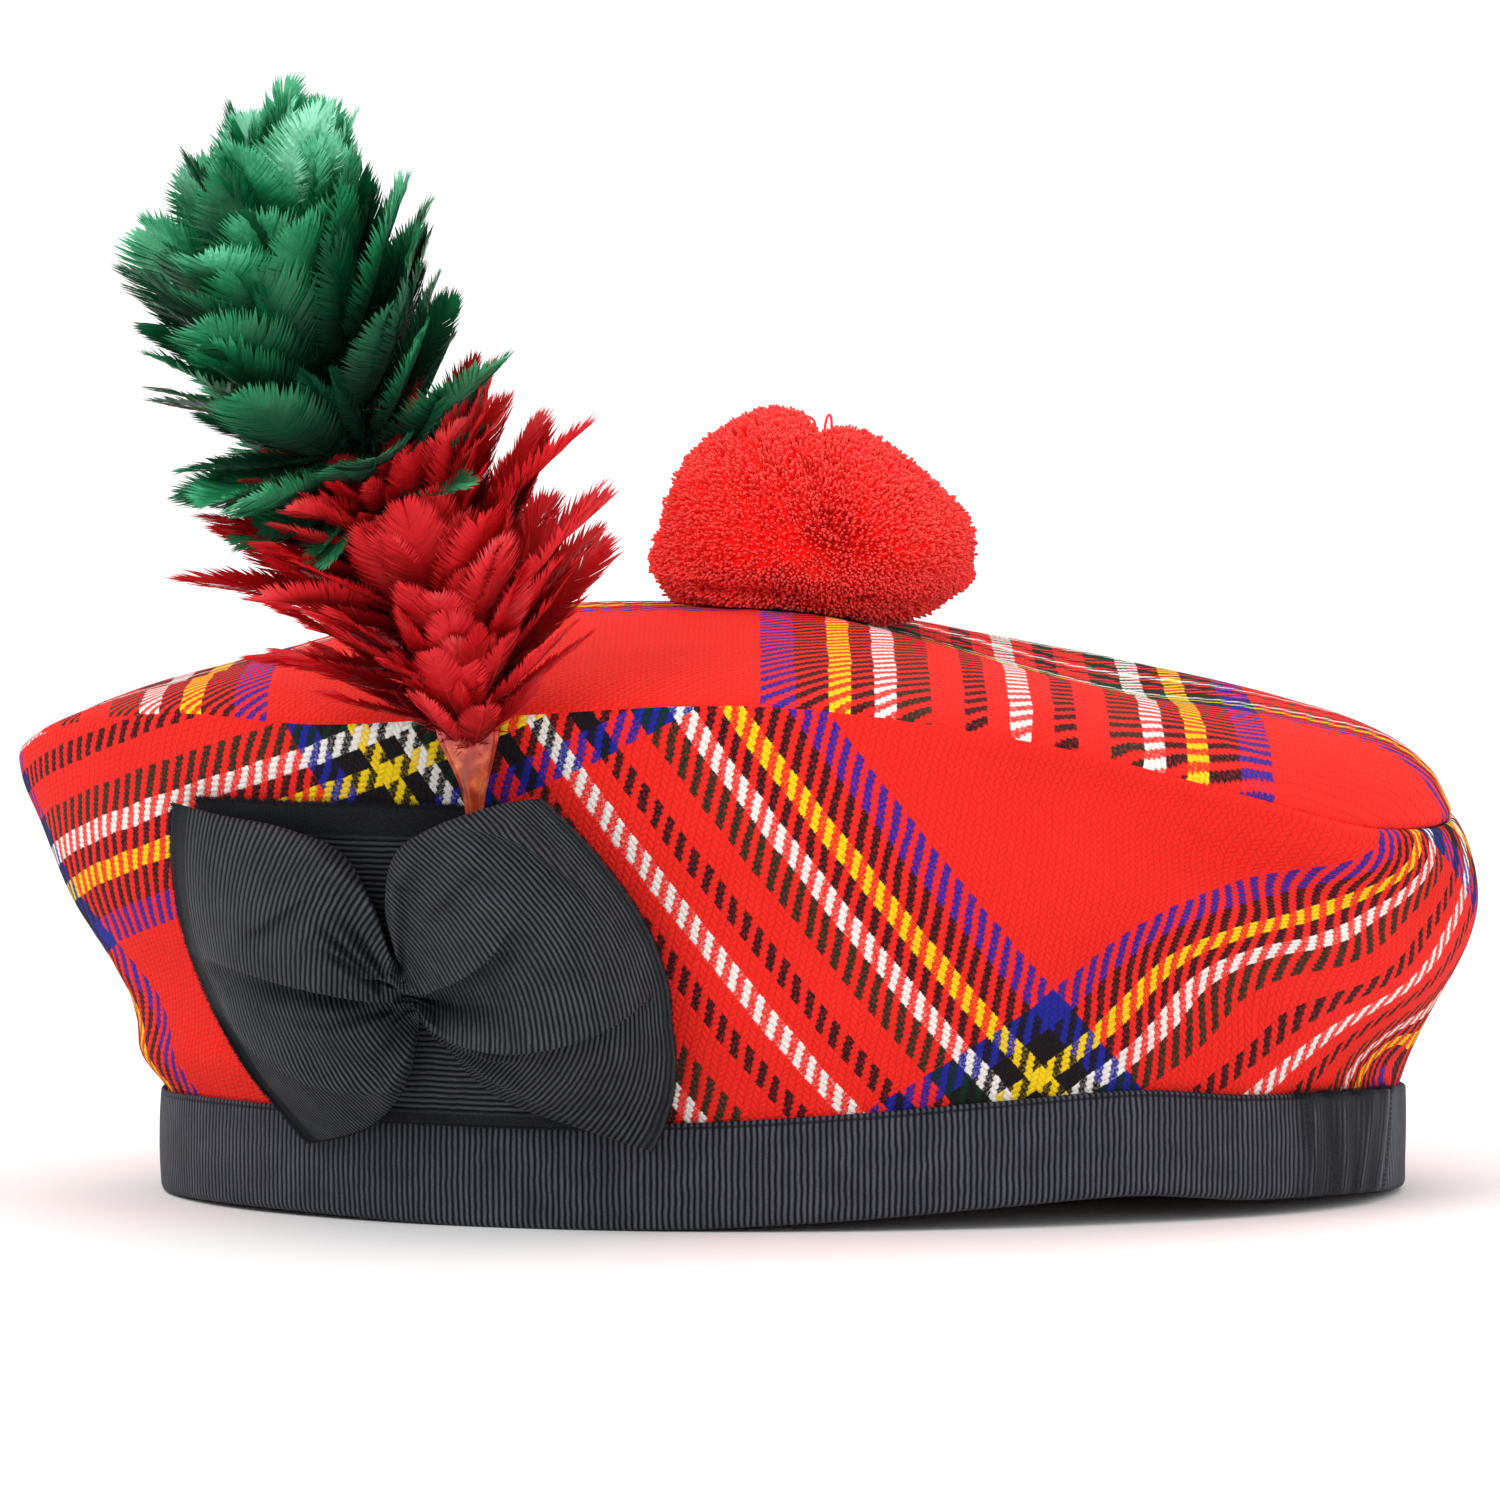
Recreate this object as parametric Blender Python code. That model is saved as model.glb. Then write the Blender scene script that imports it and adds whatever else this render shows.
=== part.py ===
"""Balmoral bonnet: flared tartan crown, grosgrain headband, bow cockade, feather hackle and toorie.

Metres, +Z up. The front of the hat points to -X and its left side, with the cockade, to -Y.
Angles go round the hat: 0 is the back, 90 the right side, 180 the front and 270 the left side.
"""
import math

import bmesh
import bpy
from mathutils import Vector

# Cloth, ribbon and the clearance between touching pieces
CLOTH = 0.0018
RIBBON = 0.0008
GAP = 0.0003
SOFT_GAP = 0.0005

# Headband, measured outside
BAND_LENGTH = 0.224
BAND_WIDTH = 0.154
BAND_HEIGHT = 0.0185
BAND_ARCH = 0.0050
LAP_STEP = 0.0006
LAP_ANGLE = 340.0

# Crown
CROWN_LENGTH = 0.258
CROWN_WIDTH = 0.210
CROWN_FORWARD = 0.0085
CROWN_HEIGHT = 0.1055
SEAM_HEIGHT = 0.0920
DENT_DEPTH = 0.0060

# Cockade: the knot's place on the side and the bow's reach from it
KNOT_FORWARD = 0.0670
KNOT_HEIGHT = 0.0425
BOW_REACH = 0.0480
BOW_RISE = 0.0350
BOW_PUFF = 0.0110
BOW_EDGE_LIFT = 0.0022
BOW_THICKNESS = 0.0012
KNOT_THICKNESS = 0.0040
BACKING_THICKNESS = 0.0011

# Hackle: its foot stands behind the bow's right wing
HACKLE_FORWARD = 0.0525
HACKLE_FOOT = 0.0700
HACKLE_HEIGHT = 0.1185
HACKLE_SWEEP = 0.0318
HACKLE_CURVE = 2.5
HACKLE_LEAN = 0.0310
HACKLE_STANDOFF = 0.0066
STEM_RADIUS = 0.0014
STEM_FLARE = 0.0034
CORE_RADIUS = 0.0090
FEATHER_LENGTH = 0.0285

# Toorie
TOORIE_LENGTH = 0.0575
TOORIE_WIDTH = 0.0540
TOORIE_HEIGHT = 0.0420
TOORIE_BACK = 0.0055
# Shares of the pompom's height: its widest level, what it loses at the foot, its slope backwards
TOORIE_WAIST = 0.34
TOORIE_SINK = 0.12
TOORIE_SLOPE = 0.18
TOORIE_SEAT = 0.0008
TUFT_LENGTH = 0.0035
TUFT_TAPER = 0.62
TUFT_UNEVEN = 0.30
FURROW_DEPTH = 0.0035

# Faces round the hat, and how often the pompom's ball is divided
COLUMNS = 56
TOORIE_DETAIL = 3

# Height of the top seam round the hat, as shares of SEAM_HEIGHT
SEAM = (
    # angle, height
    (0, 0.738), (20, 0.780), (40, 0.848), (60, 0.920), (90, 0.985), (120, 0.985), (150, 0.930),
    (180, 0.862), (208, 0.945), (223, 0.970), (236, 0.958), (250, 0.977), (272, 1.000),
    (293, 0.930), (312, 0.825), (330, 0.745),
)

# How far the headband arches off the surface, as shares of BAND_ARCH
ARCH = (
    # angle, lift
    (0, 0.08), (12, 0.0), (60, 0.0), (120, 0.0), (185, 0.0), (202, 0.14), (220, 0.17), (242, 0.0),
    (260, 0.06), (276, 0.40), (289, 0.76), (303, 1.00), (316, 0.64), (330, 0.50), (345, 0.30),
)

# Side piece from the headband up to the seam, as shares of its flare at the front, sides and back
SIDE = (
    # height, front, side, back
    (0.00, 0.00, 0.00, 0.00),
    (0.10, 0.18, 0.12, 0.18),
    (0.20, 0.21, 0.24, 0.42),
    (0.32, 0.29, 0.36, 0.71),
    (0.44, 0.47, 0.48, 1.02),
    (0.56, 0.64, 0.60, 1.29),
    (0.68, 0.76, 0.72, 1.44),
    (0.80, 0.86, 0.83, 1.41),
    (0.91, 0.96, 0.93, 1.25),
    (1.00, 1.00, 1.00, 1.00),
)

# Top piece from its middle out to the seam, as shares of its rise at the front, sides and back
TOP = (
    # reach, front, side, back
    (0.00, 1.00, 1.00, 1.00),
    (0.20, 1.00, 0.97, 0.89),
    (0.40, 0.93, 0.88, 0.70),
    (0.55, 0.78, 0.76, 0.58),
    (0.70, 0.54, 0.62, 0.53),
    (0.82, 0.36, 0.46, 0.45),
    (0.91, 0.23, 0.30, 0.36),
    (0.97, 0.10, 0.13, 0.20),
    (1.00, 0.00, 0.00, 0.00),
)

# Dents and swellings of the side piece: spreads in degrees and shares of its height,
# depth as a share of DENT_DEPTH, inward where it is negative
DENTS = (
    # angle, height, spread, height_spread, depth
    (315, 0.79, 17, 0.15, -1.30),
    (297, 0.88, 13, 0.09, -0.35),
    (320, 0.44, 20, 0.17, 0.80),
    (192, 0.33, 7, 0.06, 0.22),
    (44, 0.74, 15, 0.17, -0.50),
    (122, 0.55, 18, 0.22, 0.22),
    (78, 0.82, 11, 0.13, -0.28),
)

# Dents fade out within these shares of the side's height, below and above
DENT_FADE_LOW = 0.15
DENT_FADE_HIGH = 0.06

# Rows of the inner face of each wall, which needs fewer of them
SIDE_INNER = (0.80, 0.56, 0.32, 0.10, 0.00)
TOP_INNER = (1.00, 0.91, 0.82, 0.70, 0.40)

# Outline of the cockade's backing from its foot to its head, as shares of BOW_REACH and BOW_RISE
BACKING = (
    # rise, left, right
    (0.00, -0.40, 0.86),
    (0.25, -0.52, 0.88),
    (0.50, -0.60, 0.82),
    (0.75, -0.66, 0.66),
    (1.00, -0.72, 0.42),
)
BACKING_HEAD = 0.90
# Share of BAND_ARCH that the headband's top edge rises to under the backing
BACKING_ARCH = 0.17
BACKING_COLUMNS = 15
BACKING_ROWS = 9

# Sections of the bow from its left cut end to its right one, each a curve through three points,
# as shares of BOW_REACH and BOW_RISE; puff is a share of BOW_PUFF
BOW = (
    # along, foot_out, foot_up, middle_out, middle_up, head_out, head_up, puff
    (-1.00, -0.33, -0.82, -0.72, -0.03, -0.80, 0.89, 0.12),
    (-0.85, -0.23, -0.79, -0.62, 0.00, -0.63, 0.84, 0.55),
    (-0.65, -0.11, -0.73, -0.48, 0.03, -0.38, 0.79, 0.95),
    (-0.45, -0.02, -0.62, -0.31, 0.03, -0.18, 0.68, 1.00),
    (-0.25, 0.05, -0.45, -0.15, 0.00, -0.06, 0.42, 0.85),
    (-0.10, 0.08, -0.27, -0.04, -0.02, -0.01, 0.20, 0.60),
    (0.00, 0.09, -0.17, 0.06, -0.03, 0.03, 0.11, 0.50),
    (0.10, 0.13, -0.24, 0.14, -0.05, 0.01, 0.21, 0.60),
    (0.25, 0.20, -0.33, 0.24, -0.04, -0.02, 0.43, 0.90),
    (0.45, 0.29, -0.47, 0.43, -0.02, 0.02, 0.69, 1.15),
    (0.65, 0.44, -0.60, 0.64, 0.01, 0.17, 0.84, 1.10),
    (0.85, 0.70, -0.71, 0.83, 0.03, 0.38, 0.95, 0.60),
    (1.00, 0.92, -0.80, 0.97, -0.03, 0.54, 1.00, 0.15),
)
BOW_COLUMNS = 28
BOW_ROWS = 11
BOW_CREASE = 0.50
BOW_CREASE_WIDTH = 0.10
BOW_CREASE_DEPTH = 0.55
KNOT_SPREAD = 0.12
LOBE_ROUNDNESS = 0.6
# Where along the bow its head lifts over the hackle's stem, and how far along that reaches
STEM_PLACE = 0.72
STEM_SPREAD = 0.35

# Rows of feathers up each bundle: core as a share of CORE_RADIUS, length of FEATHER_LENGTH
RED_ROWS = (
    # height, core, splay, length
    (0.150, 0.38, 34, 0.34),
    (0.200, 0.55, 46, 0.62),
    (0.265, 0.80, 54, 0.86),
    (0.335, 1.00, 57, 1.00),
    (0.405, 1.00, 57, 1.00),
    (0.470, 0.90, 55, 0.95),
)
GREEN_ROWS = (
    # height, core, splay, length
    (0.540, 0.90, 58, 0.92),
    (0.605, 1.00, 55, 0.98),
    (0.670, 1.00, 49, 0.98),
    (0.735, 0.95, 41, 0.92),
    (0.795, 0.80, 32, 0.82),
    (0.850, 0.60, 22, 0.67),
)
RED_END = GREEN_ROWS[0][0] - SOFT_GAP / HACKLE_HEIGHT
GREEN_END = 0.890
FEATHERS_ROUND = 9

# A feather from its root to its tip, as shares of its length and of its root's width and height
FEATHER = (
    # along, width, thickness, droop
    (0.30, 1.30, 0.34, 0.00),
    (0.68, 1.50, 0.20, 0.02),
    (1.00, 0.45, 0.06, 0.08),
)


def remove_everything():
    for item in list(bpy.data.objects):
        bpy.data.objects.remove(item, do_unlink=True)


def material(name, colour, roughness):
    finish = bpy.data.materials.new(name)
    finish.use_nodes = True
    shader = finish.node_tree.nodes["Principled BSDF"]
    shader.inputs["Base Color"].default_value = (*colour, 1.0)
    shader.inputs["Roughness"].default_value = roughness
    shader.inputs["Metallic"].default_value = 0.0
    return finish


def add_object(name, points, faces, finish, sharp_angle=40.0):
    mesh = bpy.data.meshes.new(name)
    mesh.from_pydata([tuple(point) for point in points], [], faces)
    shape = bmesh.new()
    shape.from_mesh(mesh)
    bmesh.ops.recalc_face_normals(shape, faces=shape.faces)
    shape.to_mesh(mesh)
    shape.free()
    mesh.shade_smooth()
    mesh.set_sharp_from_angle(angle=math.radians(sharp_angle))
    mesh.materials.append(finish)
    item = bpy.data.objects.new(name, mesh)
    bpy.context.scene.collection.objects.link(item)
    return item


def smooth_value(low, left, right, high, share):
    """Catmull-Rom curve between two (place, value) rows, with the rows on either side of them."""
    span = right[0] - left[0]
    slope_left = (right[1] - low[1]) / (right[0] - low[0])
    slope_right = (high[1] - left[1]) / (high[0] - left[0])
    square = share * share
    cube = square * share
    return (
        (2 * cube - 3 * square + 1) * left[1]
        + (cube - 2 * square + share) * span * slope_left
        + (3 * square - 2 * cube) * right[1]
        + (cube - square) * span * slope_right
    )


def around(table, angle):
    """Value of a two-column table at an angle, with the table closed into a ring."""
    angle = angle % 360.0
    rows = [(row[0] - 360.0, row[1]) for row in table[-2:]]
    rows += list(table)
    rows += [(row[0] + 360.0, row[1]) for row in table[:2]]
    for index in range(1, len(rows) - 2):
        left, right = rows[index], rows[index + 1]
        if left[0] <= angle <= right[0]:
            share = (angle - left[0]) / (right[0] - left[0])
            return smooth_value(rows[index - 1], left, right, rows[index + 2], share)
    return rows[-1][1]


def along(table, column, place):
    """Value of one column of a table at a place in its first column."""
    place = min(max(place, table[0][0]), table[-1][0])
    rows = [(row[0], row[column]) for row in table]
    first, last = rows[0], rows[-1]
    rows.insert(0, (2 * first[0] - rows[1][0], 2 * first[1] - rows[1][1]))
    rows.append((2 * last[0] - rows[-2][0], 2 * last[1] - rows[-2][1]))
    for index in range(1, len(rows) - 2):
        left, right = rows[index], rows[index + 1]
        if place <= right[0]:
            share = (place - left[0]) / (right[0] - left[0])
            return smooth_value(rows[index - 1], left, right, rows[index + 2], share)
    return last[1]


def front_side_back(table, place, angle):
    """A table's front, side and back columns, mixed by the angle round the hat."""
    cosine = math.cos(math.radians(angle))
    end = along(table, 3 if cosine > 0 else 1, place)
    return cosine * cosine * end + (1 - cosine * cosine) * along(table, 2, place)


def ring_point(length, width, forward, angle):
    turn = math.radians(angle)
    return Vector((length / 2 * math.cos(turn) - forward, width / 2 * math.sin(turn), 0.0))


def arch(angle):
    return BAND_ARCH * max(0.0, around(ARCH, angle))


def band_top(angle):
    return arch(angle) + BAND_HEIGHT


def seam_height(angle):
    return SEAM_HEIGHT * around(SEAM, angle)


def neck_point(angle, inset=0.0):
    """The side piece's outer face at the headband, or a point that lies further in."""
    ribbon = 2 * (RIBBON + GAP + inset)
    return ring_point(BAND_LENGTH - ribbon, BAND_WIDTH - ribbon, 0.0, angle)


def seam_point(angle):
    point = ring_point(CROWN_LENGTH, CROWN_WIDTH, CROWN_FORWARD, angle)
    point.z = seam_height(angle)
    return point


def dent(angle, share):
    depth = 0.0
    for place, height, spread, height_spread, size in DENTS:
        turn = (angle - place + 180.0) % 360.0 - 180.0
        depth += size * math.exp(-((turn / spread) ** 2) - ((share - height) / height_spread) ** 2)
    edge = min(1.0, share / DENT_FADE_LOW) * min(1.0, (1.0 - share) / DENT_FADE_HIGH)
    return DENT_DEPTH * depth * edge


def side_point(angle, share):
    """Outer face of the side piece, share 0 at the headband's top edge and 1 at the seam."""
    neck = neck_point(angle)
    seam = seam_point(angle)
    flare = front_side_back(SIDE, share, angle)
    point = neck.lerp(seam, flare)
    outward = Vector((math.cos(math.radians(angle)), math.sin(math.radians(angle)), 0.0))
    point += outward * dent(angle, share)
    point.z = band_top(angle) + (seam.z - band_top(angle)) * share
    return point


def top_point(angle, reach):
    """Outer face of the top piece, reach 0 in the middle and 1 at the seam."""
    seam = seam_point(angle)
    middle = Vector((-CROWN_FORWARD, 0.0, 0.0))
    point = middle.lerp(seam, reach)
    point.z = seam.z + (CROWN_HEIGHT - seam.z) * front_side_back(TOP, reach, angle)
    return point


def top_height(x, y):
    """Height of the top piece's outer face over a place on the plan."""
    across = (x + CROWN_FORWARD) / (CROWN_LENGTH / 2)
    deep = y / (CROWN_WIDTH / 2)
    angle = math.degrees(math.atan2(deep, across))
    return top_point(angle, min(1.0, math.hypot(across, deep))).z


def face_normal(surface, angle, share):
    """Normal of a surface given by angle and share: outward on the side, inward on the top."""
    turn = 0.5
    rise = 0.01
    low = max(share - rise, 0.0)
    high = min(share + rise, 1.0)
    round_hat = surface(angle + turn, share) - surface(angle - turn, share)
    up = surface(angle, high) - surface(angle, low)
    return round_hat.cross(up).normalized()


def mitre(angle):
    """Direction from the inside to the outside of the seam that both cloth edges share."""
    turn = math.radians(angle)
    return Vector((math.cos(turn), math.sin(turn), 0.55)).normalized()


def ring_faces(rings, columns):
    """Quads between each ring of points and the next."""
    faces = []
    for ring in range(rings - 1):
        for column in range(columns):
            after = (column + 1) % columns
            low = ring * columns
            high = low + columns
            faces.append((low + column, low + after, high + after, high + column))
    return faces


def column_angles():
    return [360.0 * column / COLUMNS for column in range(COLUMNS)]


def make_crown_side(finish):
    """Flared wall: up its outer face, over the seam edge and down its inner face."""
    rings = []
    foot = RIBBON + GAP
    rings.append([neck_point(a) + Vector((0, 0, arch(a) + foot)) for a in column_angles()])
    for row in SIDE:
        rings.append([side_point(a, row[0]) for a in column_angles()])
    rings[-1] = [point - Vector((0, 0, GAP / 2)) for point in rings[-1]]
    inner = []
    for angle in column_angles():
        inner.append(side_point(angle, 1.0) - mitre(angle) * CLOTH - Vector((0, 0, GAP / 2)))
    rings.append(inner)
    for share in SIDE_INNER:
        inner = []
        for angle in column_angles():
            normal = face_normal(side_point, angle, share)
            normal.z = 0.0
            inner.append(side_point(angle, share) - normal.normalized() * CLOTH)
        rings.append(inner)
    neck = [neck_point(a, CLOTH) + Vector((0, 0, arch(a) + foot)) for a in column_angles()]
    rings.append(neck)
    points = [point for ring in rings for point in ring]
    faces = ring_faces(len(rings), COLUMNS)
    last = (len(rings) - 1) * COLUMNS
    for column in range(COLUMNS):
        after = (column + 1) % COLUMNS
        faces.append((last + column, last + after, after, column))
    return add_object("crown_side", points, faces, finish)


def make_crown_top(finish):
    """Domed disc of cloth: its outer face from the middle out, then its inner face back in."""
    points = [top_point(0.0, 0.0)]
    rings = 0
    for row in TOP[1:]:
        points += [top_point(a, row[0]) for a in column_angles()]
        rings += 1
    for column in range(COLUMNS):
        points[-COLUMNS + column].z += GAP / 2
    for reach in TOP_INNER:
        for angle in column_angles():
            point = top_point(angle, reach)
            if reach == 1.0:
                point += Vector((0, 0, GAP / 2)) - mitre(angle) * CLOTH
            else:
                point += face_normal(top_point, angle, reach) * CLOTH
            points.append(point)
        rings += 1
    points.append(top_point(0.0, 0.0) - Vector((0, 0, CLOTH)))
    faces = []
    for column in range(COLUMNS):
        faces.append((0, 1 + column, 1 + (column + 1) % COLUMNS))
    for face in ring_faces(rings, COLUMNS):
        faces.append(tuple(index + 1 for index in face))
    last = 1 + (rings - 1) * COLUMNS
    for column in range(COLUMNS):
        faces.append((last + (column + 1) % COLUMNS, last + column, len(points) - 1))
    return add_object("crown_top", points, faces, finish)


def lap_step(angle):
    """The ribbon's outer end stands proud at the lap and settles over the next quarter turn."""
    behind = (LAP_ANGLE - angle) % 360.0
    return LAP_STEP * max(0.0, 1.0 - behind / 90.0)


def make_headband(finish):
    """Ribbon folded over the side piece's lower edge, as a U that goes round the hat."""
    angles = sorted(column_angles() + [LAP_ANGLE, LAP_ANGLE + 0.25])
    leg = RIBBON + GAP
    profile = (
        # inset from the side piece's outer face, height above the fold
        (-leg, BAND_HEIGHT),
        (-leg, RIBBON),
        (-leg + RIBBON / 2, 0.0),
        (CLOTH + leg - RIBBON / 2, 0.0),
        (CLOTH + leg, RIBBON),
        (CLOTH + leg, BAND_HEIGHT),
        (CLOTH + GAP, BAND_HEIGHT),
        (CLOTH + GAP, RIBBON),
        (-GAP, RIBBON),
        (-GAP, BAND_HEIGHT),
    )
    points = []
    for row, (inset, height) in enumerate(profile):
        for angle in angles:
            step = lap_step(angle) if row < 2 else 0.0
            points.append(neck_point(angle, inset - step) + Vector((0, 0, arch(angle) + height)))
    faces = ring_faces(len(profile), len(angles))
    last = (len(profile) - 1) * len(angles)
    for column in range(len(angles)):
        after = (column + 1) % len(angles)
        faces.append((last + column, last + after, after, column))
    return add_object("headband", points, faces, finish)


def skin_y(x, z):
    """Y of the hat's outer left face, headband included, at a place seen from that side."""
    low, high = 180.0, 360.0
    for _ in range(22):
        angle = (low + high) / 2
        share = (z - band_top(angle)) / (seam_height(angle) - band_top(angle))
        if side_point(angle, min(max(share, 0.0), 1.0)).x < x:
            low = angle
        else:
            high = angle
    share = (z - band_top(angle)) / (seam_height(angle) - band_top(angle))
    face = side_point(angle, min(max(share, 0.0), 1.0)).y
    ribbon = neck_point(angle, -(RIBBON + GAP + LAP_STEP)).y
    return min(face, ribbon) if share < 0.06 else face


def cockade_point(x, z, lift):
    """A point that stands off the hat's left side by a lift square to its face."""
    step = CLOTH
    y = skin_y(x, z)
    slope_x = (skin_y(x + step, z) - skin_y(x - step, z)) / (2 * step)
    slope_z = (skin_y(x, z + step) - skin_y(x, z - step)) / (2 * step)
    return Vector((x, y - lift * math.sqrt(1 + slope_x ** 2 + slope_z ** 2), z))


def plate_faces(columns, rows):
    """Front, back and edges of a plate whose front and back are grids of points."""
    count = columns * rows
    faces = []
    for column in range(columns - 1):
        for row in range(rows - 1):
            corner = column * rows + row
            quad = (corner, corner + rows, corner + rows + 1, corner + 1)
            faces.append(quad)
            faces.append(tuple(count + index for index in reversed(quad)))
    edge = [column * rows for column in range(columns)]
    edge += [(columns - 1) * rows + row for row in range(1, rows)]
    edge += [column * rows + rows - 1 for column in range(columns - 2, -1, -1)]
    edge += [row for row in range(rows - 2, 0, -1)]
    for index, corner in enumerate(edge):
        after = edge[(index + 1) % len(edge)]
        faces.append((after, corner, count + corner, count + after))
    return faces


def make_backing(finish):
    """Flat patch on the side piece, standing just above the headband."""
    front, back = [], []
    for column in range(BACKING_COLUMNS):
        across = column / (BACKING_COLUMNS - 1)
        for row in range(BACKING_ROWS):
            share = row / (BACKING_ROWS - 1)
            left = along(BACKING, 1, share)
            right = along(BACKING, 2, share)
            x = BOW_REACH * (left + (right - left) * across) - KNOT_FORWARD
            foot = BAND_HEIGHT + BAND_ARCH * BACKING_ARCH + SOFT_GAP
            head = KNOT_HEIGHT + BOW_RISE * BACKING_HEAD
            z = foot + (head - foot) * share
            front.append(cockade_point(x, z, SOFT_GAP + BACKING_THICKNESS))
            back.append(cockade_point(x, z, SOFT_GAP))
    faces = plate_faces(BACKING_COLUMNS, BACKING_ROWS)
    return add_object("cockade_backing", front + back, faces, finish)


def bow_place(place, share):
    """Where a point of the bow lies beside the knot; share runs from the ribbon's foot to its head."""
    foot, middle, head = [
        Vector((along(BOW, column, place), along(BOW, column + 1, place))) for column in (1, 3, 5)
    ]
    curve = foot * (1 - share) * (1 - 2 * share) + middle * 4 * share * (1 - share)
    curve += head * share * (2 * share - 1)
    return curve.x * BOW_REACH - KNOT_FORWARD, curve.y * BOW_RISE + KNOT_HEIGHT


def bow_lift(place, share):
    """Height of the bow over the hat's side: two puffed lobes with a crease between them."""
    crease = 1 - BOW_CREASE_DEPTH * math.exp(-(((share - BOW_CREASE) / BOW_CREASE_WIDTH) ** 2))
    lobes = math.sin(math.pi * min(max(share, 0.0), 1.0)) ** LOBE_ROUNDNESS * crease
    edge = SOFT_GAP + BACKING_THICKNESS + BOW_EDGE_LIFT
    over_stem = math.exp(-(((place - STEM_PLACE) / STEM_SPREAD) ** 2))
    behind_stem = HACKLE_STANDOFF * share ** 2 * over_stem
    return edge + behind_stem + BOW_PUFF * along(BOW, 7, place) * lobes


def make_bow(finish):
    """Wide ribbon gathered at its middle, as a shell that stands off its backing."""
    front, back = [], []
    for column in range(BOW_COLUMNS):
        place = -1 + 2 * column / (BOW_COLUMNS - 1)
        knot = KNOT_THICKNESS * math.exp(-((place / KNOT_SPREAD) ** 2))
        for row in range(BOW_ROWS):
            share = row / (BOW_ROWS - 1)
            x, z = bow_place(place, share)
            lift = bow_lift(place, share)
            front.append(cockade_point(x, z, lift + BOW_THICKNESS + knot / 2))
            back.append(cockade_point(x, z, lift - knot / 2))
    faces = plate_faces(BOW_COLUMNS, BOW_ROWS)
    return add_object("cockade_bow", front + back, faces, finish)


def hackle_foot_y(foot_x):
    """Y of the hackle's foot, clear of the hat's side there and up where the stem is widest."""
    top = RED_ROWS[0][0]
    low = skin_y(foot_x, HACKLE_FOOT) - HACKLE_STANDOFF
    high = skin_y(foot_x, HACKLE_FOOT + HACKLE_HEIGHT * top) + HACKLE_LEAN * top
    return min(low, high - STEM_FLARE - SOFT_GAP)


def hackle_point(share):
    """The hackle's middle line, swept to the front and leaning out from the hat's side."""
    foot_x = -HACKLE_FORWARD
    sweep = math.sin(math.pi / 2 * min(1.0, max(0.0, share) * 1.1)) ** HACKLE_CURVE
    return Vector((
        foot_x - HACKLE_SWEEP * sweep,
        hackle_foot_y(foot_x) - HACKLE_LEAN * share,
        HACKLE_FOOT + HACKLE_HEIGHT * share,
    ))


def hackle_frame(share):
    """Middle line's point, its direction and two directions square to it."""
    step = 0.01
    direction = (hackle_point(share + step) - hackle_point(share - step)).normalized()
    side = direction.cross(Vector((0, 1, 0))).normalized()
    return hackle_point(share), direction, side, side.cross(direction)


def core_ring(share, radius, turn, sides):
    middle, _, side, depth = hackle_frame(share)
    ring = []
    for index in range(sides):
        angle = 2 * math.pi * index / sides + turn
        ring.append(middle + (side * math.cos(angle) + depth * math.sin(angle)) * radius)
    return ring


def add_feather(points, faces, root, splay, length, axis):
    """A blade that grows from one face of the core; root holds the face's four corners."""
    corners = [points[index] for index in root]
    middle = sum(corners, Vector()) / 4
    across = ((corners[1] + corners[2]) - (corners[0] + corners[3])) / 2
    tall = ((corners[2] + corners[3]) - (corners[0] + corners[1])) / 2
    out = tall.cross(across).normalized()
    if out.dot(middle - axis[0]) < 0:
        out = -out
    slant = math.radians(splay)
    way = axis[1] * math.cos(slant) + out * math.sin(slant)
    below = (out * math.cos(slant) - axis[1] * math.sin(slant)).normalized()
    last = list(root)
    for run, width, thickness, droop in FEATHER:
        centre = middle + way * (length * run) + below * (length * droop)
        wide = across * (width / 2)
        thick = below * (tall.length * thickness / 2)
        first = len(points)
        points += [centre - wide + thick, centre + wide + thick]
        points += [centre + wide - thick, centre - wide - thick]
        for side in range(4):
            after = (side + 1) % 4
            faces.append((last[side], last[after], first + after, first + side))
        last = [first + side for side in range(4)]
    faces.append(tuple(last))


def make_bundle(name, rows, end, finish):
    """Feathers fused to a core, one from each face of the core, each row turned half a step."""
    points, faces = [], []
    sides = FEATHERS_ROUND
    half_step = math.pi / sides
    heights = [row[0] for row in rows] + [end]
    for index, height in enumerate(heights):
        radius = CORE_RADIUS * rows[min(index, len(rows) - 1)][1]
        points += core_ring(height, radius, half_step * index, sides)
    for index, (height, _, splay, length) in enumerate(rows):
        axis = hackle_frame((height + heights[index + 1]) / 2)
        for side in range(sides):
            after = (side + 1) % sides
            low, high = index * sides, (index + 1) * sides
            root = (low + side, low + after, high + after, high + side)
            add_feather(points, faces, root, splay, FEATHER_LENGTH * length, axis)
    faces.append(tuple(range(sides)))
    top = len(rows) * sides
    faces.append(tuple(top + side for side in range(sides)))
    return add_object(name, points, faces, finish)


def make_stem(finish):
    """Quill that widens into the red bundle's foot."""
    sides = 10
    top = RED_ROWS[0][0] - SOFT_GAP / HACKLE_HEIGHT
    levels = (
        # height along the hackle, radius
        (0.0, STEM_RADIUS),
        (top * 0.45, STEM_RADIUS * 1.3),
        (top * 0.75, (STEM_RADIUS + STEM_FLARE) / 2),
        (top, STEM_FLARE),
    )
    points = []
    for share, radius in levels:
        points += core_ring(share, radius, 0.0, sides)
    faces = ring_faces(len(levels), sides)
    faces.append(tuple(range(sides)))
    last = (len(levels) - 1) * sides
    faces.append(tuple(last + side for side in range(sides)))
    return add_object("hackle_stem", points, faces, finish)


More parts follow.
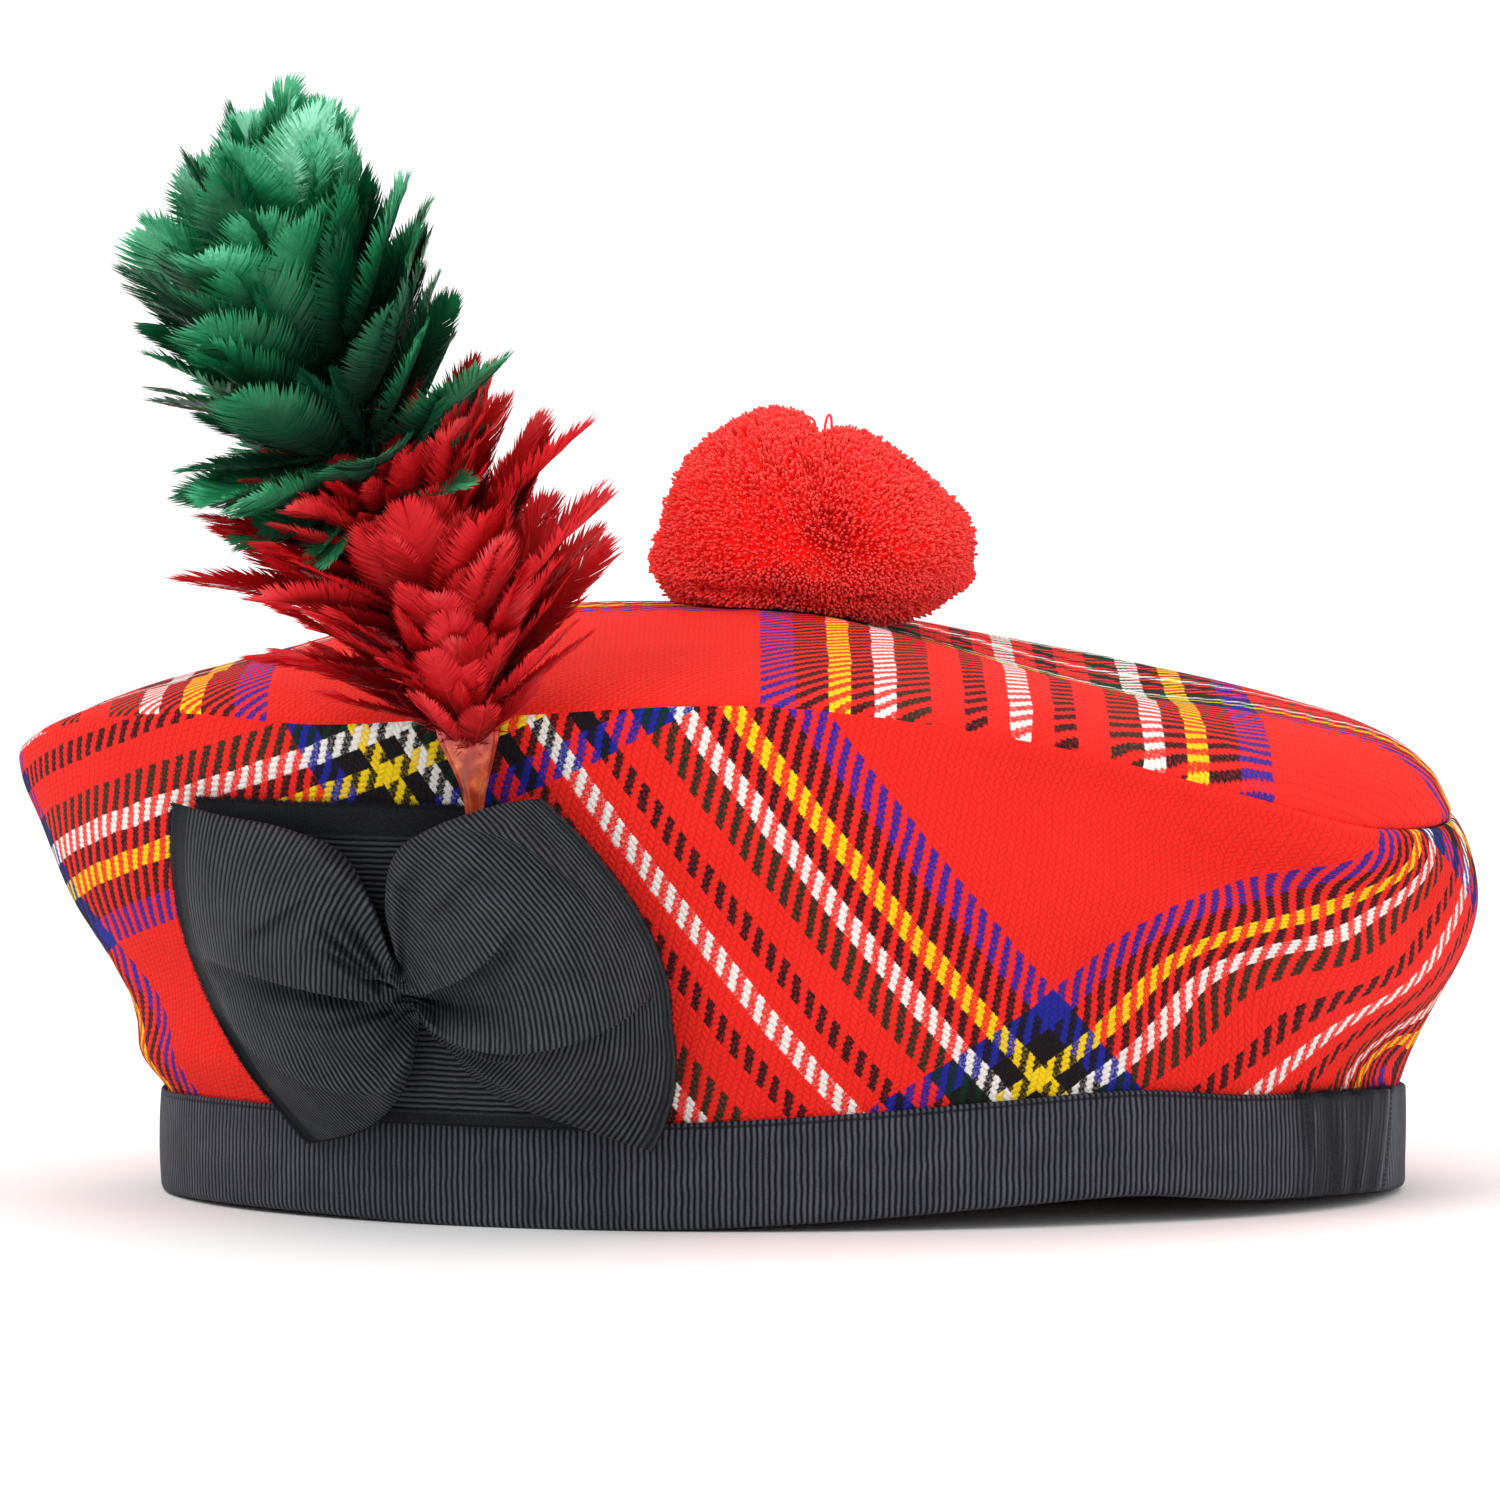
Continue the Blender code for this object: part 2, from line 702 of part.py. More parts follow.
def toorie_point(direction):
    """Surface of the pompom: a squashed ball, higher in front, with a furrow over it."""
    rise = 1 - TOORIE_WAIST if direction.z > 0 else TOORIE_WAIST
    rise *= TOORIE_HEIGHT * (1 - TOORIE_SLOPE * (1 + direction.x) / 2)
    furrow = math.exp(-(((direction.x - direction.z * 0.3 + 0.12) / 0.17) ** 2))
    furrow *= max(0.0, direction.z * 0.8 - direction.y * 0.6)
    trim = 1 - (TUFT_LENGTH + FURROW_DEPTH * furrow) / (TOORIE_LENGTH / 2)
    length = direction.x * TOORIE_LENGTH / 2
    width = direction.y * TOORIE_WIDTH / 2
    return Vector((length, width, direction.z * rise)) * trim


def make_toorie(finish):
    """Ball of yarn tufts, flattened below where it sits on the top piece."""
    middle = Vector((TOORIE_BACK, 0.0, 0.0))
    middle.z = top_height(middle.x, 0.0) + TOORIE_HEIGHT * (TOORIE_WAIST - TOORIE_SINK)
    ball = bmesh.new()
    bmesh.ops.create_icosphere(ball, subdivisions=TOORIE_DETAIL, radius=1.0)
    for vert in ball.verts:
        vert.co = toorie_point(vert.co.normalized()) + middle
        vert.co.z = max(vert.co.z, top_height(vert.co.x, vert.co.y) + TOORIE_SEAT)
    upper = [f for f in ball.faces if f.calc_center_median().z > middle.z - TOORIE_HEIGHT * 0.12]
    tufts = bmesh.ops.extrude_discrete_faces(ball, faces=upper)["faces"]
    for index, face in enumerate(tufts):
        centre = face.calc_center_median()
        uneven = 1 + TUFT_UNEVEN * math.sin(index * 2.4)
        outward = (centre - middle).normalized() * TUFT_LENGTH * uneven
        for vert in face.verts:
            vert.co = centre.lerp(vert.co, TUFT_TAPER) + outward
            vert.co.z = max(vert.co.z, top_height(vert.co.x, vert.co.y) + 2 * TOORIE_SEAT)
    mesh = bpy.data.meshes.new("toorie")
    ball.to_mesh(mesh)
    ball.free()
    mesh.materials.append(finish)
    item = bpy.data.objects.new("toorie", mesh)
    bpy.context.scene.collection.objects.link(item)
    return item


def stand_at_origin(pieces):
    """Move all the pieces so that the middle of their common box stands over the origin."""
    corners = [vert.co for piece in pieces for vert in piece.data.vertices]
    low = Vector([min(corner[axis] for corner in corners) for axis in range(3)])
    high = Vector([max(corner[axis] for corner in corners) for axis in range(3)])
    shift = Vector(((low.x + high.x) / 2, (low.y + high.y) / 2, low.z))
    for piece in pieces:
        for vert in piece.data.vertices:
            vert.co -= shift


def make_bonnet():
    remove_everything()
    tartan = material("tartan_wool", (0.87, 0.06, 0.045), 0.9)
    grosgrain = material("black_grosgrain", (0.035, 0.036, 0.042), 0.7)
    red_feather = material("red_feather", (0.45, 0.015, 0.02), 0.6)
    green_feather = material("green_feather", (0.01, 0.11, 0.05), 0.6)
    quill = material("quill", (0.50, 0.09, 0.03), 0.5)
    yarn = material("scarlet_yarn", (0.90, 0.05, 0.045), 0.95)
    pieces = [
        make_crown_top(tartan),
        make_crown_side(tartan),
        make_headband(grosgrain),
        make_backing(grosgrain),
        make_bow(grosgrain),
        make_stem(quill),
        make_bundle("hackle_red", RED_ROWS, RED_END, red_feather),
        make_bundle("hackle_green", GREEN_ROWS, GREEN_END, green_feather),
        make_toorie(yarn),
    ]
    stand_at_origin(pieces)


make_bonnet()
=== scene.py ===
"""The look of the balmoral bonnet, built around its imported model.

Metres, +Z up. The front of the hat points to -X and its left side, with the cockade, to -Y.
Angles go round the hat: 0 is the back, 90 the right side, 180 the front and 270 the left side.
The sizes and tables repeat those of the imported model, in a frame centred on the headband.
"""

import math

import bmesh
import bpy
import numpy as np
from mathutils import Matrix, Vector


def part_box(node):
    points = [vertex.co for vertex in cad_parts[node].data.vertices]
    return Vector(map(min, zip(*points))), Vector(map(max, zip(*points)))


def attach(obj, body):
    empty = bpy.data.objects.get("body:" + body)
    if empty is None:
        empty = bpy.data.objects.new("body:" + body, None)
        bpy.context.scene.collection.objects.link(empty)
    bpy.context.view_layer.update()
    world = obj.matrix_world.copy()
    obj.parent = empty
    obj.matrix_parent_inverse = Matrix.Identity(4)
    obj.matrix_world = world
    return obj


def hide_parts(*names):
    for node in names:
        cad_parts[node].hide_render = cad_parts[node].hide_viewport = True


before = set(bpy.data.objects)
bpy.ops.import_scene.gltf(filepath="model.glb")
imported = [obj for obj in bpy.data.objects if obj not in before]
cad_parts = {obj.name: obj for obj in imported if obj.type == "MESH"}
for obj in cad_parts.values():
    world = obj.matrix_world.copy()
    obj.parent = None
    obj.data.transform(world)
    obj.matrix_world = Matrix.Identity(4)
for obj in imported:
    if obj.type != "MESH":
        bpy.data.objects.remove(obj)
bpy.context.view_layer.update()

# Cloth, ribbon and the clearance between touching pieces
CLOTH = 0.0018
RIBBON = 0.0008
GAP = 0.0003
SOFT_GAP = 0.0005

# Headband, measured outside
BAND_LENGTH = 0.224
BAND_WIDTH = 0.154
BAND_HEIGHT = 0.0185
BAND_ARCH = 0.0050
LAP_STEP = 0.0006
LAP_ANGLE = 340.0

# Crown
CROWN_LENGTH = 0.258
CROWN_WIDTH = 0.210
CROWN_FORWARD = 0.0085
CROWN_HEIGHT = 0.1055
SEAM_HEIGHT = 0.0920
DENT_DEPTH = 0.0060

# Cockade: the knot's place on the side and the bow's reach from it
KNOT_FORWARD = 0.0670
KNOT_HEIGHT = 0.0425
BOW_REACH = 0.0480
BOW_RISE = 0.0350
BOW_PUFF = 0.0110
BOW_EDGE_LIFT = 0.0022
BOW_THICKNESS = 0.0012
KNOT_THICKNESS = 0.0040
BACKING_THICKNESS = 0.0011

# Hackle: its foot stands behind the bow's right wing
HACKLE_FORWARD = 0.0525
HACKLE_FOOT = 0.0700
HACKLE_HEIGHT = 0.1185
HACKLE_SWEEP = 0.0318
HACKLE_CURVE = 2.5
HACKLE_LEAN = 0.0310
HACKLE_STANDOFF = 0.0066
STEM_FLARE = 0.0034
CORE_RADIUS = 0.0090
FEATHER_LENGTH = 0.0285

# Toorie
TOORIE_LENGTH = 0.0575
TOORIE_WIDTH = 0.0540
TOORIE_HEIGHT = 0.0420
TOORIE_BACK = 0.0055
# Shares of the pompom's height: its widest level, what it loses at the foot, its slope backwards
TOORIE_WAIST = 0.34
TOORIE_SINK = 0.12
TOORIE_SLOPE = 0.18
TOORIE_SEAT = 0.0008

# Height of the top seam round the hat, as shares of SEAM_HEIGHT
SEAM = (
    # angle, height
    (0, 0.738), (20, 0.780), (40, 0.848), (60, 0.920), (90, 0.985), (120, 0.985), (150, 0.930),
    (180, 0.862), (208, 0.945), (223, 0.970), (236, 0.958), (250, 0.977), (272, 1.000),
    (293, 0.930), (312, 0.825), (330, 0.745),
)

# How far the headband arches off the surface, as shares of BAND_ARCH
ARCH = (
    # angle, lift
    (0, 0.08), (12, 0.0), (60, 0.0), (120, 0.0), (185, 0.0), (202, 0.14), (220, 0.17), (242, 0.0),
    (260, 0.06), (276, 0.40), (289, 0.76), (303, 1.00), (316, 0.64), (330, 0.50), (345, 0.30),
)

# Side piece from the headband up to the seam, as shares of its flare at the front, sides and back
SIDE = (
    # height, front, side, back
    (0.00, 0.00, 0.00, 0.00),
    (0.10, 0.18, 0.12, 0.18),
    (0.20, 0.21, 0.24, 0.42),
    (0.32, 0.29, 0.36, 0.71),
    (0.44, 0.47, 0.48, 1.02),
    (0.56, 0.64, 0.60, 1.29),
    (0.68, 0.76, 0.72, 1.44),
    (0.80, 0.86, 0.83, 1.41),
    (0.91, 0.96, 0.93, 1.25),
    (1.00, 1.00, 1.00, 1.00),
)

# Top piece from its middle out to the seam, as shares of its rise at the front, sides and back
TOP = (
    # reach, front, side, back
    (0.00, 1.00, 1.00, 1.00),
    (0.20, 1.00, 0.97, 0.89),
    (0.40, 0.93, 0.88, 0.70),
    (0.55, 0.78, 0.76, 0.58),
    (0.70, 0.54, 0.62, 0.53),
    (0.82, 0.36, 0.46, 0.45),
    (0.91, 0.23, 0.30, 0.36),
    (0.97, 0.10, 0.13, 0.20),
    (1.00, 0.00, 0.00, 0.00),
)

# Dents and swellings of the side piece: spreads in degrees and shares of its height,
# depth as a share of DENT_DEPTH, inward where it is negative
DENTS = (
    # angle, height, spread, height_spread, depth
    (315, 0.79, 17, 0.15, -1.30),
    (297, 0.88, 13, 0.09, -0.35),
    (320, 0.44, 20, 0.17, 0.80),
    (192, 0.33, 7, 0.06, 0.22),
    (44, 0.74, 15, 0.17, -0.50),
    (122, 0.55, 18, 0.22, 0.22),
    (78, 0.82, 11, 0.13, -0.28),
)

# Dents fade out within these shares of the side's height, below and above
DENT_FADE_LOW = 0.15
DENT_FADE_HIGH = 0.06

# Outline of the cockade's backing from its foot to its head, as shares of BOW_REACH and BOW_RISE
BACKING = (
    # rise, left, right
    (0.00, -0.40, 0.86),
    (0.25, -0.52, 0.88),
    (0.50, -0.60, 0.82),
    (0.75, -0.66, 0.66),
    (1.00, -0.72, 0.42),
)
BACKING_HEAD = 0.90

# Sections of the bow from its left cut end to its right one, each a curve through three points,
# as shares of BOW_REACH and BOW_RISE; puff is a share of BOW_PUFF
BOW = (
    # along, foot_out, foot_up, middle_out, middle_up, head_out, head_up, puff
    (-1.00, -0.33, -0.82, -0.72, -0.03, -0.80, 0.89, 0.12),
    (-0.85, -0.23, -0.79, -0.62, 0.00, -0.63, 0.84, 0.55),
    (-0.65, -0.11, -0.73, -0.48, 0.03, -0.38, 0.79, 0.95),
    (-0.45, -0.02, -0.62, -0.31, 0.03, -0.18, 0.68, 1.00),
    (-0.25, 0.05, -0.45, -0.15, 0.00, -0.06, 0.42, 0.85),
    (-0.10, 0.08, -0.27, -0.04, -0.02, -0.01, 0.20, 0.60),
    (0.00, 0.09, -0.17, 0.06, -0.03, 0.03, 0.11, 0.50),
    (0.10, 0.13, -0.24, 0.14, -0.05, 0.01, 0.21, 0.60),
    (0.25, 0.20, -0.33, 0.24, -0.04, -0.02, 0.43, 0.90),
    (0.45, 0.29, -0.47, 0.43, -0.02, 0.02, 0.69, 1.15),
    (0.65, 0.44, -0.60, 0.64, 0.01, 0.17, 0.84, 1.10),
    (0.85, 0.70, -0.71, 0.83, 0.03, 0.38, 0.95, 0.60),
    (1.00, 0.92, -0.80, 0.97, -0.03, 0.54, 1.00, 0.15),
)
BOW_CREASE = 0.50
BOW_CREASE_WIDTH = 0.10
BOW_CREASE_DEPTH = 0.55
KNOT_SPREAD = 0.12
LOBE_ROUNDNESS = 0.6
# Where along the bow its head lifts over the hackle's stem, and how far along that reaches
STEM_PLACE = 0.72
STEM_SPREAD = 0.35

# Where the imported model's red and green bundles begin and end up the hackle, as shares of its height
RED_FOOT = 0.150
GREEN_FOOT = 0.540
RED_END = GREEN_FOOT - SOFT_GAP / HACKLE_HEIGHT
GREEN_END = 0.890

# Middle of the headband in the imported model's frame
band_low, band_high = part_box("headband")
HOME = np.array(((band_low.x + band_high.x) / 2, band_high.y - BAND_WIDTH / 2, band_low.z))

MM = 0.001

# How often the search for a place on the hat's left side halves its range, and up to which share of
# the side the headband can stand out further than the cloth
SKIN_HALVINGS = 20
RIBBON_SHARE = 0.06


def bell(distance):
    """1 in the middle, falling off smoothly; distances are counted in widths."""
    return np.exp(-np.square(distance))


def ease(value, start, width):
    """From 0 at a start up to 1 a width later, or a width earlier where it is negative."""
    return np.clip((value - start) / width, 0.0, 1.0)


def hermite(places, values, at):
    """Catmull-Rom curve through values at rising places, read at an array of places inside them."""
    places = np.asarray(places, float)
    values = np.asarray(values, float)
    at = np.asarray(at, float)
    index = np.clip(np.searchsorted(places, at, side="right") - 1, 1, len(places) - 3)
    left, right = places[index], places[index + 1]
    span = right - left
    share = (at - left) / span
    slope_left = (values[index + 1] - values[index - 1]) / (right - places[index - 1])
    slope_right = (values[index + 2] - values[index]) / (places[index + 2] - left)
    square, cube = share ** 2, share ** 3
    return (
        (2 * cube - 3 * square + 1) * values[index]
        + (cube - 2 * square + share) * span * slope_left
        + (3 * square - 2 * cube) * values[index + 1]
        + (cube - square) * span * slope_right
    )


def around(table, angle):
    """A two-column table at angles in degrees, closed into a ring."""
    rows = [(row[0] - 360.0, row[1]) for row in table[-2:]]
    rows += list(table)
    rows += [(row[0] + 360.0, row[1]) for row in table[:2]]
    return hermite([row[0] for row in rows], [row[1] for row in rows], np.mod(angle, 360.0))


def along(table, column, place):
    """One column of a table at places in its first column."""
    rows = [(row[0], row[column]) for row in table]
    first, last = rows[0], rows[-1]
    before = (2 * first[0] - rows[1][0], 2 * first[1] - rows[1][1])
    after = (2 * last[0] - rows[-2][0], 2 * last[1] - rows[-2][1])
    rows = [before] + rows + [after]
    place = np.clip(place, first[0], last[0])
    return hermite([row[0] for row in rows], [row[1] for row in rows], place)


def front_side_back(table, place, angle):
    """A table's front, side and back columns, mixed by the angle round the hat."""
    cosine = np.cos(np.radians(angle))
    end = np.where(cosine > 0, along(table, 3, place), along(table, 1, place))
    return cosine ** 2 * end + (1 - cosine ** 2) * along(table, 2, place)


def points(x, y, z):
    return np.stack(np.broadcast_arrays(x, y, z), axis=-1).astype(float)


def ring(length, width, forward, angle):
    turn = np.radians(angle)
    return points(length / 2 * np.cos(turn) - forward, width / 2 * np.sin(turn), 0.0)


def arch(angle):
    return BAND_ARCH * np.maximum(0.0, around(ARCH, angle))


def band_top(angle):
    return arch(angle) + BAND_HEIGHT


def seam_height(angle):
    return SEAM_HEIGHT * around(SEAM, angle)


def neck(angle, inset=0.0):
    """The side piece's outer face at the headband, or points that lie further in."""
    ribbon = 2 * (RIBBON + GAP + inset)
    return ring(BAND_LENGTH - ribbon, BAND_WIDTH - ribbon, 0.0, angle)


def seam(angle):
    place = ring(CROWN_LENGTH, CROWN_WIDTH, CROWN_FORWARD, angle)
    place[..., 2] = seam_height(angle)
    return place


def dent(angle, share):
    depth = 0.0
    for place, height, spread, height_spread, size in DENTS:
        turn = np.mod(angle - place + 180.0, 360.0) - 180.0
        depth += size * bell(turn / spread) * bell((share - height) / height_spread)
    fade = np.minimum(1.0, share / DENT_FADE_LOW) * np.minimum(1.0, (1.0 - share) / DENT_FADE_HIGH)
    return DENT_DEPTH * depth * fade


def side_face(angle, share):
    """Outer face of the side piece, share 0 at the headband's top edge and 1 at the seam."""
    angle, share = np.broadcast_arrays(angle, share)
    low, high = neck(angle), seam(angle)
    flare = front_side_back(SIDE, share, angle)[..., None]
    place = low + (high - low) * flare
    turn = np.radians(angle)
    place += points(np.cos(turn), np.sin(turn), 0.0) * dent(angle, share)[..., None]
    place[..., 2] = band_top(angle) + (seam_height(angle) - band_top(angle)) * share
    return place


def top_face(angle, reach):
    """Outer face of the top piece, reach 0 in the middle and 1 at the seam."""
    angle, reach = np.broadcast_arrays(angle, reach)
    edge = seam(angle)
    middle = np.array((-CROWN_FORWARD, 0.0, 0.0))
    place = middle + (edge - middle) * reach[..., None]
    rise = front_side_back(TOP, reach, angle)
    place[..., 2] = edge[..., 2] + (CROWN_HEIGHT - edge[..., 2]) * rise
    return place


def side_share(angle, z):
    """How far up the side piece a height lies, from the headband's top edge to the seam."""
    return (z - band_top(angle)) / (seam_height(angle) - band_top(angle))


def skin_y(x, z):
    """Y of the hat's outer left face, headband included, at places seen from that side."""
    x, z = np.broadcast_arrays(np.asarray(x, float), np.asarray(z, float))
    low, high = np.full(x.shape, 180.0), np.full(x.shape, 360.0)
    for _ in range(SKIN_HALVINGS):
        angle = (low + high) / 2
        short = side_face(angle, np.clip(side_share(angle, z), 0.0, 1.0))[..., 0] < x
        low, high = np.where(short, angle, low), np.where(short, high, angle)
    share = side_share(angle, z)
    face = side_face(angle, np.clip(share, 0.0, 1.0))[..., 1]
    ribbon = neck(angle, -(RIBBON + GAP + LAP_STEP))[..., 1]
    return np.where(share < RIBBON_SHARE, np.minimum(face, ribbon), face)


def cockade_face(x, z, lift):
    """Points that stand off the hat's left side by a lift square to its face."""
    step = CLOTH
    slope_x = (skin_y(x + step, z) - skin_y(x - step, z)) / (2 * step)
    slope_z = (skin_y(x, z + step) - skin_y(x, z - step)) / (2 * step)
    return points(x, skin_y(x, z) - lift * np.sqrt(1 + slope_x ** 2 + slope_z ** 2), z)


def bow_place(place, share):
    """Where points of the bow lie beside the knot; share runs from the ribbon's foot to its head."""
    place, share = np.broadcast_arrays(place, share)
    across, up = [], []
    for column in (1, 3, 5):
        across.append(along(BOW, column, place))
        up.append(along(BOW, column + 1, place))
    weights = ((1 - share) * (1 - 2 * share), 4 * share * (1 - share), share * (2 * share - 1))
    x = sum(weight * value for weight, value in zip(weights, across))
    z = sum(weight * value for weight, value in zip(weights, up))
    return x * BOW_REACH - KNOT_FORWARD, z * BOW_RISE + KNOT_HEIGHT


def over_stem(place):
    """Where along the bow it lies over the hackle's stem, from 0 to 1."""
    return bell((place - STEM_PLACE) / STEM_SPREAD)


def hackle_foot_y(foot_x):
    """Y of the hackle's foot, clear of the hat's side there and up where the stem is widest."""
    top = RED_FOOT
    low = skin_y(foot_x, HACKLE_FOOT) - HACKLE_STANDOFF
    high = skin_y(foot_x, HACKLE_FOOT + HACKLE_HEIGHT * top) + HACKLE_LEAN * top
    return float(np.minimum(low, high - STEM_FLARE - SOFT_GAP))


def hackle_line(share, foot_y):
    """The hackle's middle line, swept to the front and leaning out from the hat's side."""
    share = np.asarray(share, float)
    sweep = np.sin(math.pi / 2 * np.minimum(1.0, np.maximum(0.0, share) * 1.1)) ** HACKLE_CURVE
    x = -HACKLE_FORWARD - HACKLE_SWEEP * sweep
    return points(x, foot_y - HACKLE_LEAN * share, HACKLE_FOOT + HACKLE_HEIGHT * share)


def hackle_frame(share, foot_y):
    """Middle line's points, their directions and two directions square to each."""
    step = 0.01
    direction = unit(hackle_line(share + step, foot_y) - hackle_line(share - step, foot_y))
    side = unit(np.cross(direction, (0.0, 1.0, 0.0)))
    return hackle_line(share, foot_y), direction, side, np.cross(side, direction)


def top_height(x, y):
    """Height of the top piece's outer face over places on the plan."""
    across = (x + CROWN_FORWARD) / (CROWN_LENGTH / 2)
    deep = y / (CROWN_WIDTH / 2)
    angle = np.degrees(np.arctan2(deep, across))
    return top_face(angle, np.minimum(1.0, np.hypot(across, deep)))[..., 2]


def unit(vectors):
    return vectors / np.maximum(np.linalg.norm(vectors, axis=-1, keepdims=True), 1e-12)


def grid_quads(rows, columns, closed=False, looped=False, start=0):
    """Faces of a grid of points kept row by row; a closed grid joins its last column to its first,
    and a looped one its last row to its first."""
    across = np.arange(columns if closed else columns - 1)
    after = (across + 1) % columns
    faces = []
    for row in range(rows if looped else rows - 1):
        low = start + row * columns
        high = start + (row + 1) % rows * columns
        faces.append(np.stack((low + across, low + after, high + after, high + across), axis=-1))
    return np.concatenate(faces)


def grid_normals(grid, closed=False):
    """Normals of a grid of points, square to its columns and rows."""
    if closed:
        across = np.roll(grid, -1, axis=1) - np.roll(grid, 1, axis=1)
    else:
        across = np.gradient(grid, axis=1)
    return unit(np.cross(across, np.gradient(grid, axis=0)))


def lengths_along(grid, axis):
    """Length run along the rows or columns of a grid of points, from the start of each."""
    steps = np.linalg.norm(np.diff(grid, axis=axis), axis=2)
    return np.concatenate((np.zeros_like(steps.take([0], axis)), np.cumsum(steps, axis)), axis)


def tube(middles, sides, depths, wide, deep, count):
    """Rings of points round a line, from two directions square to it and half its width and depth."""
    turns = np.linspace(0, 2 * math.pi, count, endpoint=False)
    across = sides[..., None, :] * (np.cos(turns) * wide)[..., None]
    return middles[..., None, :] + across + depths[..., None, :] * (np.sin(turns) * deep)[..., None]


def merged(parts):
    """Points, faces and face corners' values of many parts, each given as points, faces and values."""
    verts, faces, corners = [], [], []
    start = 0
    for part_verts, part_faces, values in parts:
        verts.append(part_verts)
        for group in part_faces:
            faces += (group + start).tolist()
            corners.append(values[group.ravel()])
        start += len(part_verts)
    return np.concatenate(verts), faces, np.concatenate(corners)


def add_piece(name, verts, faces, finish, corners, replaces=None):
    """A mesh of the hat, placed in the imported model's frame. Each corner of each face has two values
    of the cloth map, and where its finish needs them two of the tone map."""
    mesh = bpy.data.meshes.new(name)
    mesh.from_pydata((verts + HOME).tolist(), [], faces)
    for layer_name, column in (("cloth", 0), ("tone", 2)):
        if column < corners.shape[1]:
            layer = mesh.uv_layers.new(name=layer_name)
            layer.data.foreach_set("uv", corners[:, column:column + 2].astype(np.float32).ravel())
    mesh.validate()
    mesh.shade_smooth()
    mesh.materials.append(finish)
    piece = bpy.data.objects.new(name, mesh)
    bpy.context.scene.collection.objects.link(piece)
    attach(piece, "root")
    if replaces:
        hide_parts(replaces)


def linear(red, green, blue):
    """A colour from 8-bit display values."""
    shares = np.array((red, green, blue)) / 255
    values = np.where(shares <= 0.04045, shares / 12.92, ((shares + 0.055) / 1.055) ** 2.4)
    return (*values.tolist(), 1.0)


def operator(kind):
    """A method of Value that adds one node of arithmetic."""
    return lambda value, *others: value.finish.math(kind, value, *others)


class Value:
    """A number in a finish's node tree, which can be added, multiplied and so on like any other."""

    def __init__(self, finish, socket):
        self.finish = finish
        self.socket = socket

    def __rsub__(self, other):
        return self.finish.math("SUBTRACT", other, self)

    __add__ = operator("ADD")
    __sub__ = operator("SUBTRACT")
    __mul__ = operator("MULTIPLY")
    __truediv__ = operator("DIVIDE")
    __mod__ = operator("FLOORED_MODULO")
    __pow__ = operator("POWER")
    __lt__ = operator("LESS_THAN")
    __abs__ = operator("ABSOLUTE")
    __floor__ = operator("FLOOR")


class Finish:
    """A material and its node tree, with short calls for the nodes that the finishes share."""

    def __init__(self, name, roughness=0.8, specular=0.3, sheen=0.0, tint=(1.0, 1.0, 1.0, 1.0)):
        self.material = bpy.data.materials.new(name)
        self.material.use_nodes = True
        self.tree = self.material.node_tree
        self.shader = self.tree.nodes["Principled BSDF"]
        self.set("Roughness", roughness)
        self.set("Specular IOR Level", specular)
        self.set("Sheen Weight", sheen)
        self.set("Sheen Roughness", 0.4)
        self.set("Sheen Tint", tint)

    def set(self, name, value):
        self.feed(self.shader.inputs[name], value)

    def feed(self, socket, value):
        if isinstance(value, Value):
            self.tree.links.new(value.socket, socket)
        else:
            socket.default_value = value

    def node(self, kind, inputs=(), output=0, **settings):
        """A new node with its first inputs fed in turn, and one of its outputs."""
        made = self.tree.nodes.new(kind)
        for name, value in settings.items():
            setattr(made, name, value)
        for place, value in inputs.items() if isinstance(inputs, dict) else enumerate(inputs):
            self.feed(made.inputs[place], value)
        return Value(self, made.outputs[output])

    def math(self, operation, *inputs):
        return self.node("ShaderNodeMath", inputs, operation=operation)

    def wave(self, value, length=1.0):
        """A sine wave of a length."""
        return self.math("SINE", value * (2 * math.pi / length))

    def larger(self, first, second):
        return self.math("MAXIMUM", first, second)

    def mix(self, share, first, second, blend="MIX"):
        """Two colours mixed by a share."""
        inputs = {0: share, 6: first, 7: second}
        return self.node("ShaderNodeMix", inputs, output=2, data_type="RGBA", blend_type=blend)

    def mix_value(self, share, first, second):
        return self.node("ShaderNodeMix", {0: share, 2: first, 3: second}, data_type="FLOAT")

    def spread(self, value, low, high, to_low, to_high):
        inputs = (value, low, high, to_low, to_high)
        return self.node("ShaderNodeMapRange", inputs, clamp=True)

    def noise(self, scale, detail=2.0, where=None, roughness=0.5):
        if where is None:
            where = self.node("ShaderNodeTexCoord", output=3)
        inputs = {"Vector": where, "Scale": scale, "Detail": detail, "Roughness": roughness}
        return self.node("ShaderNodeTexNoise", inputs)

    def stray(self, amount, *noise):
        """Noise from minus to plus half an amount."""
        return (self.noise(*noise) - 0.5) * amount

    def cloth(self, name="cloth"):
        """Both coordinates of one of a piece's maps."""
        where = self.node("ShaderNodeUVMap", uv_map=name)
        return [self.node("ShaderNodeSeparateXYZ", (where,), output) for output in (0, 1)]

    def pair(self, first, second):
        return self.node("ShaderNodeCombineXYZ", (first, second))

    def ramp(self, value, stops, interpolation="LINEAR"):
        made = self.tree.nodes.new("ShaderNodeValToRGB")
        made.color_ramp.interpolation = interpolation
        elements = made.color_ramp.elements
        while len(elements) < len(stops):
            elements.new(0.5)
        for element, (place, colour) in zip(elements, stops):
            element.position = place
            element.color = colour
        self.feed(made.inputs[0], value)
        return Value(self, made.outputs[0])

    def bump(self, height, distance, strength=1.0):
        inputs = {"Height": height, "Distance": distance, "Strength": strength}
        self.set("Normal", self.node("ShaderNodeBump", inputs))


# Tartan: its thread and half its sett, from the middle of the red field to the white line
THREAD = 0.961 * MM
HALF_SETT = 90.0
